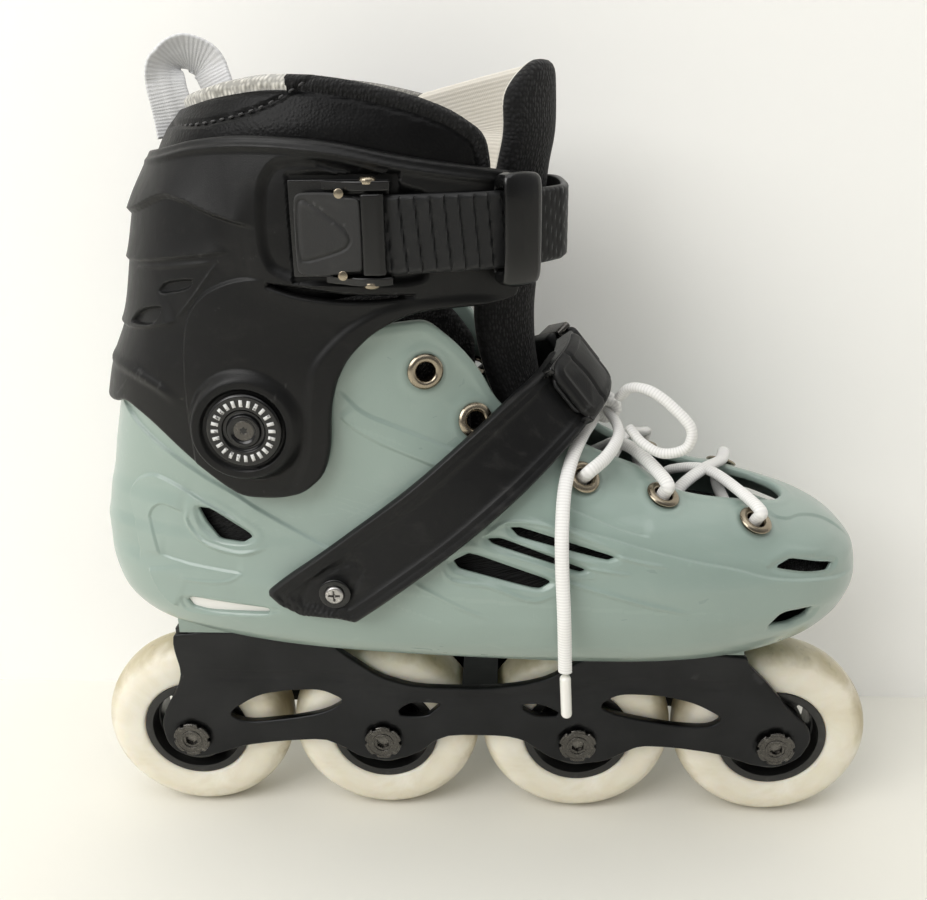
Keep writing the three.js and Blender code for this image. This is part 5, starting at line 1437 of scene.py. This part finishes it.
def make_tongue():
    rows = spline([tuple(r) for r in TONGUE], 1.7)
    line = rows[:, :2]
    along = unit(np.gradient(line, axis=0))
    out = np.stack([along[:, 1], -along[:, 0]], -1)
    # Evenly across, then ever finer towards the wing that wraps back on the inner side.
    u = np.linspace(-1, 1.4, 66)
    u = np.where(u > 0.6, 1 - 0.4 * (1 - (u - 0.6) / 0.8) ** 2, u)
    uu, _ = np.meshgrid(u, np.arange(len(rows)))
    half = np.where(uu < 0, rows[:, 2:3], rows[:, 3:4])
    push = -np.where(uu < 0, rows[:, 4:5] * uu**2, rows[:, 5:6] * np.clip(uu, 0, 1) ** 4.5 + 5 * uu**2)
    high = smooth((line[:, 1:] - 262) / 35)
    x = line[:, :1] + out[:, :1] * push
    z = line[:, 1:] + out[:, 1:] * push * (1 - high) - 11 * np.clip(uu, 0, 1) ** 5 * high
    y = uu * half * (1 - 0.1 * uu**2) + toe_swing(x)
    points = np.stack([x, y, z], -1)
    steps = np.linalg.norm(np.diff(points, axis=1), axis=-1)
    across = np.concatenate([np.zeros((len(rows), 1)), np.cumsum(steps, 1)], 1)
    left = across[:, -1:] - across
    run = np.concatenate([[0], np.cumsum(np.linalg.norm(np.diff(line, axis=0), axis=1))])
    total = run[-1]
    vv = np.broadcast_to(run[:, None], uu.shape)

    def corner(a, b, radius):
        return radius - np.hypot(np.clip(radius - a, 0, None), np.clip(radius - b, 0, None))
    keep = np.minimum(corner(across, total - vv, 14), corner(left, total - vv, 5))
    keep = np.minimum(np.minimum(keep, vv), np.minimum(across, left)) + 0.01
    height = 0.8 * smooth(keep / 7)
    thin = 4.4 * smooth(uu * 1.4) * smooth((line[:, 1:] - 240) / 30)
    height = height - 0.8 * np.exp(-((keep - 6.5) / 0.8) ** 2)
    mesh = slab(points, keep, 7.4, height, edge=3.0, lines=[(keep, 5.6), (keep, 6.5), (keep, 7.4)],
                uv=(across, vv), inner=thin)
    groups = np.where(mesh[3] >= 100, 1, 0)
    obj = piece("padded_tongue", mesh[:3], "boot_and_frame", [MAT["knit"], MAT["lining"]],
                ["tongue"],
                groups=groups, ride=False)
    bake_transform(obj)


make_tongue()


def make_liner():
    levels = level_heights(94, 222, 2.6, hidden=100, hidden_step=6)
    lift = lambda z: -8.4 * (1 - min(max((z - 102) / 26, 0), 1)) + 13.4 * min(max((z - 118) / 18, 0),
                                                                              1) * (1 - min(max((z - 172)
                                                                                                / 33, 0), 1))
    grid = np.stack([np.column_stack([boot_ring(z + lift(z), -5.2, 280)[:, :2], np.full(280, z)])
                     for z in levels])
    normals = grid_normals(grid, True)
    rim = [(x - 3, z - 4) for x, z in SHELL_RIM]
    keep = -outline_field(grid, normals, rounded(rim))
    right = [(min(x + 3.2, 112), -y - 8) for x, y in THROAT_HALF]
    throat = rounded(right + [(t[0], -t[1]) for t in right[::-1]])
    unswung = np.stack([grid[..., 0], grid[..., 1] - toe_swing(grid[..., 0]), grid[..., 2]], -1)
    opening = -outline_field(unswung, normals, throat, (0, 1))
    keep = np.minimum(keep, np.where(grid[..., 2] > 124, opening, 99))
    mesh = slab(grid, keep, 5.6, 0, edge=2.6, wrap=True)
    obj = piece("liner_foot", mesh, "boot_and_frame", MAT["mesh"], ["liner"])
    bed = boot_ring(107, -13.2, 120)
    low = prism([(x, y) for x, y in bed[:, :2]], 99.6, 103.4, lambda u, v, h: (u, v, h))
    piece("footbed", low, "boot_and_frame", MAT["insole"], ["insole"], bevel=1.2)


make_liner()

# ------------------------------------------------------------------- pull loop
LOOP = [(-103.5, -3, 281), (-104.5, -3.5, 290), (-106, -3, 298.5), (-105.5, -1.5, 304.5), (-99.8, 1, 307.5),
        (-93.6, 3, 304.8), (-91, 2, 299.5), (-89, 1, 294)]


def make_pull_loop():
    path = spline(LOOP, 0.6)
    t = np.linspace(0, 1, len(path))
    tangent = unit(np.gradient(path, axis=0))
    twist = np.radians(np.interp(t, [0, 0.15, 0.36, 0.5, 0.64, 0.82, 1], [58, 72, 70, 34, 66, 72, 60]))[:,
                                                                                                        None]
    beside = np.stack([tangent[:, 2], 0 * t, -tangent[:, 0]], -1)
    wide = unit(np.cos(twist) * np.array([0, 1.0, 0]) + np.sin(twist) * beside)
    w = np.linspace(-8.3, 8.3, 35)
    points = path[:, None, :] + wide[:, None, :] * w[None, :, None]
    width = 7.2 - 0.5 * np.sin(PI * t)[:, None]
    keep = np.minimum(width - np.abs(w)[None, :], 99)
    height = 0.22 * np.exp(-(np.abs(w) / 1.6) ** 4)[None, :] + 0 * keep
    run = np.arange(len(path)) * 0.6
    uu, vv = np.meshgrid(w, run)
    mesh = slab(points, keep, 1.5, height, edge=0.6, uv=(uu, vv),
                lines=[(np.broadcast_to(np.abs(w)[None, :], keep.shape), 1.8)])
    piece("heel_pull_loop", mesh, "cuff_body", MAT["loop"], ["pull_loop"])


make_pull_loop()

# ---------------------------------------------------------------------- straps
STRAP_ACROSS = np.array([-0.62, 0, 0.785])
STATIONS = [(-70, 114), (-58, 124), (-47, 132), (-35.5, 140.5), (-14, 157), (5, 173)]
STRAP_FOOT = [(-84, 140), (-66.5, 119.8), (-44, 119.6), (-20, 112), (30, 90), (-110, 90)]
STRAP_TOP, STRAP_HALF, STRAP_LIFT = (37, 0, 197.8), 13.8, 4.1


def strap_route(side):
    return [surface_point(x, z, side, STRAP_LIFT) for x, z in STATIONS] + \
        [np.array([19, side * 36.5, 184.6]), np.array([29, side * 26, 191.8]), np.array([35, side * 13, 196])]


def strap_across(side):
    out = []
    for x, z in STATIONS:
        ax, _, az = STRAP_ACROSS
        out.append(unit(surface_point(x + 13 * ax, z + 13 * az, side)
                        - surface_point(x - 13 * ax, z - 13 * az, side)))
    return out + [unit(STRAP_ACROSS)] * 3


def band_grid(route, across, half, step=1.2, extra=1.2):
    """Points and outward normals over a flat band along a route."""
    rows = spline(np.hstack([np.asarray(route, float), np.asarray(across, float)]), step)
    path, wide = rows[:, :3], unit(rows[:, 3:])
    tangent = unit(np.gradient(path, axis=0))
    w = np.arange(-half - extra, half + extra + 0.01, step)
    points = path[:, None] + wide[:, None] * w[None, :, None]
    normal = unit(np.cross(tangent, wide))
    return points, np.broadcast_to(normal[:, None], points.shape), w, np.concatenate(
        [[0], np.cumsum(np.linalg.norm(np.diff(path, axis=0), axis=1))])


def outward(normals, points, centre=(0, 0, 150)):
    """Turns normals away from the middle of the boot."""
    middle = np.asarray(centre, float)
    lean = ((points - middle) * normals).sum(-1).mean()
    return normals if lean > 0 else -normals


def make_straps():
    for word, side in (("right", -1), ("left", 1)):
        route = strap_route(side)
        points, normals, w, run = band_grid(route, strap_across(side), STRAP_HALF)
        normals = outward(normals, points)
        points = points + normals * 2.0
        ww, ss = np.meshgrid(w, run)
        flat = points[..., [0, 2]]
        cut = -signed(flat, rounded(STRAP_FOOT, 1))
        half = STRAP_HALF - 0.6 * smooth((ss - run[-1] + 34) / 26)
        keep = np.minimum(np.minimum(half - np.abs(ww), cut), run[-1] - ss + 0.2)
        edge_distance = np.minimum(half - np.abs(ww), cut)
        height = (1.2 * np.exp(-((edge_distance - 1.7) / 0.9) ** 2)
                  + 0.8 * np.exp(-((edge_distance - 4.3) / 0.7) ** 2))
        height -= 0.25 * smooth((edge_distance - 5.2) / 1.5)
        # A sunken pad round the screw, with a slanted end.
        pad = [(-64.5, 124), (-58, 135.5), (-46.5, 141.6), (-41.5, 142.6), (-38.6, 139.6), (-40, 135),
               (-46.5, 126), (-50, 123.2)]
        field = signed(flat, rounded(pad))
        height -= 0.75 * smooth((field + 0.6) / 1.2)
        height += 0.45 * smooth((field - 1.2) / 1.0)
        mesh = slab(points, keep, 4.0, height, edge=1.4, normals=normals, uv=(ww, ss),
                    lines=[(edge_distance, 2.9), (edge_distance, 5.2), (field, -0.6), (field, 0.6),
                           (field, 2.2)])
        piece(f"instep_band_{word}", mesh, "boot_and_frame", MAT["strap"],
              [f"instep_strap_{word}"])
        x, _, z = surface_point(-49, 130.5, side)
        head = (-49, side * 54.4, 130.5)
        washer = ring_on([(3.2, 0.0), (5.6, 0), (5.6, 0.9), (4.9, 1.15), (3.6, 1.15), (3.2, 0.9)], head,
                         (0, side, 0), 48)
        dome = disc(3.3, 2.3, head, (0, side, 0), recess="cross", edge=0.9, wall=2.4)
        shank = lathe([(0, -8), (2.1, -8), (2.1, 0.4), (0, 0.4)], 24, head, (0, side, 0))
        piece(f"instep_screw_head_{word}", merged(dome, shank), "boot_and_frame", MAT["steel"],
              [f"instep_screw_{word}"], flat_angle=40)
        piece(f"instep_washer_{word}", washer, "boot_and_frame", MAT["gloss"])


make_straps()


def lifted(points, distance):
    wide = unit(STRAP_ACROSS)
    p = np.asarray(points, float)
    out = []
    for i in range(len(p)):
        a, b = p[max(0, i - 1)], p[min(len(p) - 1, i + 1)]
        n = unit(np.cross(b - a, wide))
        sign = 1 if n[2] + np.sign(p[i][1]) * n[1] * 2 > 0 else -1
        out.append(p[i] + n * sign * distance)
    return out


ARCH = [*strap_route(-1)[5:], np.array(STRAP_TOP, float), *strap_route(1)[5:][::-1]]


def arch(distance, start, end, shift=0.0):
    return [p + STRAP_ACROSS * shift for p in lifted(ARCH, distance)[start:end]]


def flat_piece(name, route, half, wall, body, material, replaces=(), edge=None, relief_of=None,
               ends=3.0,
               lines_of=None, bow=0.0):
    """A band piece over a short route, with its ends drawn in."""
    points, normals, w, run = band_grid(route, [STRAP_ACROSS] * len(route), half, 0.8, 0.8)
    normals = outward(normals, points)
    ww, ss = np.meshgrid(w, run)
    total = run[-1]
    corner = min(half, ends)
    dx, dy = np.clip(np.abs(ww) - (half - corner), 0,
                     None), np.clip(np.abs(ss - total / 2) - (total / 2 - corner), 0, None)
    keep = np.where((dx > 0) & (dy > 0), corner - np.hypot(dx, dy),
                    np.minimum(half - np.abs(ww), total / 2 - np.abs(ss - total / 2)))
    keep = keep + 0.02
    height = np.zeros(ww.shape) if relief_of is None else relief_of(ww, ss, keep, total)
    height = height + bow * smooth(keep / half)
    points = points + normals * wall / 2
    mesh = slab(points, keep, wall, height, edge=edge or wall / 2.2, normals=normals, uv=(ww, ss),
                lines=[] if lines_of is None else lines_of(ww, ss, keep, total))
    return piece(name, mesh, body, material, replaces)


def make_instep_buckle():
    def hood_relief(ww, ss, keep, total):
        ring = 0.55 * np.exp(-((keep - 2.6) / 0.8) ** 2)
        seam = -0.7 * np.exp(-((ss - total * 0.36) / 0.6) ** 2)
        return ring + seam
    flat_piece("instep_hood", arch(6.1, 2, 5), 12.2, 3.4, "boot_and_frame", MAT["strap"],
               edge=1.5, relief_of=hood_relief, ends=5.5, bow=1.1,
               lines_of=lambda ww, ss, keep, total: [(keep, 1.6), (keep, 2.6), (keep, 3.6)])
    for k, shift in enumerate((11, -11)):
        flat_piece(f"instep_cheek_{k + 1}", arch(3.1, 2, 5, shift), 1.6, 7.0, "boot_and_frame",
                   MAT["gloss"],
                   edge=0.7, ends=1.2)
    def teeth(ww, ss, keep, total):
        return 0.5 * ((ss / 2.6) % 1) * smooth((keep - 1.4) / 0.8)
    flat_piece("instep_toothed_strip", [*arch(3.2, 2, 5), *arch(5.7, 5, 7)], 8.5, 1.6, "boot_and_frame",
               MAT["ladder"], ["instep_ladder"], edge=0.6, relief_of=teeth, ends=4)
    flat_piece("instep_buckle_seat", arch(3.8, 5, 7), 12.2, 1.3, "boot_and_frame",
               MAT["dark_steel"],
               ["instep_buckle_base"], edge=0.4, ends=2)
    for k, shift in enumerate((11, -11)):
        flat_piece(f"instep_buckle_wall_{k + 1}", arch(6.1, 5, 7, shift), 1.3, 6.4, "boot_and_frame",
                   MAT["dark_steel"], edge=0.5, ends=1.2)
    def engraved(ww, ss, keep, total):
        return -0.5 * np.exp(-((keep - 2.4) / 0.45) ** 2)
    flat_piece("instep_buckle_plate", arch(8.9, 5, 7), 9.2, 3.0, "instep_lever", MAT["lever"],
               ["instep_buckle_lever"], edge=0.9, relief_of=engraved, ends=2.5,
               lines_of=lambda ww, ss, keep, total: [(keep, 2.0), (keep, 2.8)])


make_instep_buckle()

# ----------------------------------------------------------------- cuff buckle
def ladder_point(x, side, offset, z=LADDER_TOP + 4):
    return (x, side * float(half_width(x, z, offset)))


LADDER_ROUTE = [(-44, -52.6), (-24, -52.6)] + [ladder_point(x, -1, LADDER_OFFSET)
                                               for x in (-12, 0, 9, 16, 22, 26, 28.6)] + \
    [ladder_point(x, 1, LADDER_OFFSET) for x in (28.6, 26, 22, 16, 9, 0, -12, -24, -34)]


def make_ladder():
    route = spline([(x, y, 253) for x, y in LADDER_ROUTE], 0.55)
    run = np.arange(len(route)) * length_of(route) / (len(route) - 1)
    w = np.arange(-13.2, 13.21, 0.8)
    points = route[:, None] + np.array([0, 0, 1.0]) * w[None, :, None]
    tangent = unit(np.gradient(route, axis=0))
    normal = unit(np.cross(tangent, [0, 0, 1.0]))
    normal = np.broadcast_to(outward(normal[:, None], route[:, None], (-20, 0, 253)), points.shape)
    ww, ss = np.meshgrid(w, run)
    total = run[-1]
    half = 12.0
    keep = np.minimum(half - np.abs(ww), total / 2 - np.abs(ss - total / 2)) + 0.01
    slanted = ss + ww * 0.1
    pitch = np.where(slanted < 62, 4.6, 2.6)
    phase = np.where(slanted < 62, slanted / 4.6, (slanted - 62) / 2.6) % 1
    tooth = (0.25 + 0.85 * phase) * smooth((1 - phase) * pitch / 0.5) * smooth(phase * pitch / 0.35)
    tooth = np.where(ss < total * 0.8, tooth, 0.5)
    height = tooth * smooth((keep - 0.3) / 0.6)
    mesh = slab(points + normal * 0.9, keep, 1.9, height, edge=0.7, normals=normal, uv=(ww, ss))
    piece("cuff_ladder", mesh, "cuff_body", MAT["ladder"], ["cuff_ladder_strap"],
          flat_angle=45)
    at = surface_point(-26, 253, 1, LADDER_OFFSET)
    axis = surface_normal(-26, 253, 1)
    axis[2] = 0
    axis = unit(axis)
    seat = at + axis * 2.25
    head = disc(4, 2, seat, axis, recess="cross", edge=0.9, wall=2.0)
    shank = lathe([(0, -3), (2.1, -3), (2.1, 0.3), (0, 0.3)], 24, seat, axis)
    piece("ladder_screw_head", merged(head, shank), "cuff_body", MAT["steel"], ["cuff_ladder_screw"],
          flat_angle=40)


make_ladder()


def make_keeper():
    x = 12
    seat = np.array([*ladder_point(x, -1, CUFF_OUTER + 0.35), 253])
    ahead = np.array([*ladder_point(x + 0.5, -1, CUFF_OUTER + 0.35), 253])
    along = unit(ahead - seat)
    out = np.array([along[1], -along[0], 0])
    a = np.linspace(0, 2 * PI, 97)[:-1]
    def ring(half_out, half_z, middle, power):
        c, s = np.cos(a), np.sin(a)
        o = middle + half_out * np.sign(c) * np.abs(c) ** power
        zz = 253 + half_z * np.sign(s) * np.abs(s) ** power
        return o, zz
    outer_o, outer_z = ring(4.1, 17.4, 3.6, 0.42)
    inner_o, inner_z = ring(2.45, 13.0, 2.9, 0.24)
    stations = [(-6.5, 0), (-6.9, 0.2), (-7.0, 0.45), (-6.7, 0.7), (-6.0, 0.88), (-4.6, 1.0), (-2.4, 1.07),
                (0, 1.1),
                (2.4, 1.07), (4.6, 1.0), (6.0, 0.88), (6.7, 0.7), (7.0, 0.45), (6.9, 0.2), (6.5, 0)]
    rows = []
    for s, grow in stations:
        o = inner_o + (outer_o - inner_o) * grow
        zz = inner_z + (outer_z - inner_z) * grow
        rows.append(seat + along * s + out * o[:, None] + np.array([0, 0, 1]) * (zz - 253)[:, None])
    points = np.stack(rows)
    n = points.shape[1]
    faces = []
    count = len(stations)
    for r in range(count):
        for k in range(n):
            faces.append((r * n + k, r * n + (k + 1) % n, ((r + 1) % count) * n + (k + 1) % n,
                          ((r + 1) % count) * n + k))
    uv = np.zeros((count * n, 2))
    piece("strap_keeper", (points.reshape(-1, 3), faces, uv), "cuff_body", MAT["gloss"],
          ["cuff_keeper"])


make_keeper()


def make_cuff_buckle():
    up = lambda u, v, h: (u, v, h)
    floor = prism([(-56, -51.1), (-25, -51.1), (-25, -49.95), (-56, -49.95)], 240, 269.5, up)
    arms = []
    for low, high in ((266.4, 269.3), (238.1, 240.7)):
        outline = [(-46, -51.2), (-25.5, -51.2), (-24, -52.6), (-24.4, -55.6), (-27.5, -57.2), (-34.5, -57.2),
                   (-39, -55)]
        arms.append(prism([(x, y) for x, y in outline], low, high, up))
    piece("cuff_buckle_frame", merged(floor, *arms), "cuff_body", MAT["gloss"],
          ["cuff_buckle_base"], bevel=0.5,
          flat_angle=40)
    pins = []
    for z, direction in ((269.3, 1), (238.1, -1)):
        pins.append(lathe(rounded_profile([(0, -1), (2.6, -1), (2.6, 0.5), (1.9, 1.1), (0, 1.2)], 0.35),
                          40, (-31, -54.9, z), (0, 0, direction)))
    for z, direction in ((241.4, 1), (265.8, -1)):
        pins.append(lathe(rounded_profile([(0, -0.4), (1.5, -0.4), (1.5, 0.5), (0, 0.7)], 0.2), 24,
                          (-39.5, -56.6, z), (0, -1, 0)))
    piece("cuff_buckle_pins", merged(*pins), "cuff_body", MAT["nickel"], flat_angle=40)
    # Lever plate, over its plan from the free end to the hinge, with an engraved outline.
    xs, zs = np.arange(-55, -31.2, 0.5), np.arange(239.5, 267.6, 0.5)
    gx, gz = np.meshgrid(xs, zs)
    y = -57.2 + (gx + 53.5) / 22 * 0.25
    points = np.stack([gx, y, gz], -1)
    flat = np.stack([gx, gz], -1)
    outline = rounded([(-53.6, 243.5), (-52, 241.6), (-44, 241.3), (-38.5, 242.6), (-34.5, 242.6),
                       (-33.2, 243.4),
                       (-33.2, 263.4), (-34.5, 264.4), (-38.4, 264.6), (-40.6, 266), (-51.5, 266.2),
                       (-53.3, 264.5)])
    keep = signed(flat, outline)
    figure = rounded([(-52.2, 263.8), (-49.6, 264.2), (-38.4, 256), (-36.4, 252.4), (-38.2, 249.2),
                      (-50, 245.8), (-52.4, 246.4)])
    groove = np.abs(signed(flat, figure))
    height = -0.45 * np.exp(-(groove / 0.42) ** 2) + 0.25 * smooth(signed(flat, figure) / 1.2)
    plate = slab(points, keep, 2.3, height, edge=0.55, normals=np.broadcast_to([0, -1.0, 0], points.shape),
                 uv=(gx, gz),
                 lines=[(groove, 0.25), (groove, 0.6)])
    block = [(-33.4, -56.9), (-32.6, -57.9), (-27.6, -57.9), (-26.2, -56.8), (-26.0, -54.6), (-28, -53.9),
             (-33.2, -53.9)]
    barrel = prism(block, 241.4, 265.6, up)
    piece("cuff_buckle_plate", plate, "cuff_lever", MAT["lever"], ["cuff_buckle_lever"])
    piece("cuff_buckle_barrel", barrel, "cuff_body", MAT["gloss"], flat_angle=40, bevel=0.6)


make_cuff_buckle()


# --------------------------------------------------------------- stage and light
def make_stage():
    def plane(name, corners, material):
        data = bpy.data.meshes.new(name)
        data.from_pydata(corners, [], [(0, 1, 2, 3)])
        data.materials.append(material)
        obj = bpy.data.objects.new(name, data)
        bpy.context.scene.collection.objects.link(obj)
        return obj
    floor = Nodes("floor_paint")
    floor_material = floor.done(floor.mix(floor.ramp(floor.noise(3, 3), 0.3, 0.7), (0.83, 0.815, 0.75),
                                          (0.86, 0.845, 0.78)), 0.75)
    plane("floor", [(-8, -8, 0), (8, -8, 0), (8, 8, 0), (-8, 8, 0)], floor_material)
    # The wall stands just behind the boot; its far side lets the view through.
    wall = Nodes("wall_paint")
    wall.done((0.93, 0.925, 0.9), 0.8)
    wall.shader.inputs["Emission Color"].default_value = (1, 0.99, 0.96, 1)
    wall.shader.inputs["Emission Strength"].default_value = 0.09
    geometry = wall.tree.nodes.new("ShaderNodeNewGeometry")
    clear = wall.tree.nodes.new("ShaderNodeBsdfTransparent")
    either = wall.tree.nodes.new("ShaderNodeMixShader")
    wall.tree.links.new(geometry.outputs["Backfacing"], either.inputs[0])
    wall.tree.links.new(wall.shader.outputs[0], either.inputs[1])
    wall.tree.links.new(clear.outputs[0], either.inputs[2])
    wall.tree.links.new(either.outputs[0], wall.tree.nodes["Material Output"].inputs["Surface"])
    upright = plane("wall",
                    [(-3, 0.08 + 0.033, 0), (3, 0.08 - 0.033, 0), (3, 0.08 - 0.033, 2.4),
                     (-3, 0.08 + 0.033, 2.4)], wall.material)
    upright.visible_shadow = False


def area_light(name, at, aim, size, power, colour=(1, 1, 1), shape=None):
    data = bpy.data.lights.new(name, "AREA")
    data.energy, data.size, data.color = power, size, colour
    if shape:
        data.shape, data.size_y = "RECTANGLE", shape
    obj = bpy.data.objects.new(name, data)
    obj.location = at
    obj.rotation_euler = (Vector(aim) - Vector(at)).to_track_quat("-Z", "Y").to_euler()
    bpy.context.scene.collection.objects.link(obj)


def make_room():
    """Bright above and to the left, dim on the viewer's side, so dark plastic stays dark."""
    world = bpy.data.worlds.new("room")
    world.use_nodes = True
    tree = world.node_tree
    coords = tree.nodes.new("ShaderNodeTexCoord")
    facing = tree.nodes.new("ShaderNodeVectorMath")
    facing.operation = "DOT_PRODUCT"
    facing.inputs[1].default_value = (0.25, -0.93, -0.1)
    tree.links.new(coords.outputs["Generated"], facing.inputs[0])
    grade = tree.nodes.new("ShaderNodeMapRange")
    for key, value in zip(("From Min", "From Max", "To Min", "To Max"), (-0.1, 0.75, 0.62, 0.2)):
        grade.inputs[key].default_value = value
    tree.links.new(facing.outputs["Value"], grade.inputs["Value"])
    tree.links.new(grade.outputs["Result"], tree.nodes["Background"].inputs["Strength"])
    tree.nodes["Background"].inputs["Color"].default_value = (1, 0.99, 0.97, 1)
    bpy.context.scene.world = world


make_stage()
make_room()
area_light("key", (-0.95, -0.95, 1.2), (0, 0, 0.15), 1.1, 18, (1, 0.99, 0.97))
area_light("top", (0.15, -0.45, 1.6), (0, 0, 0.1), 1.2, 6)
bpy.context.scene.view_settings.view_transform = "Standard"
bpy.context.scene.view_settings.look = "None"
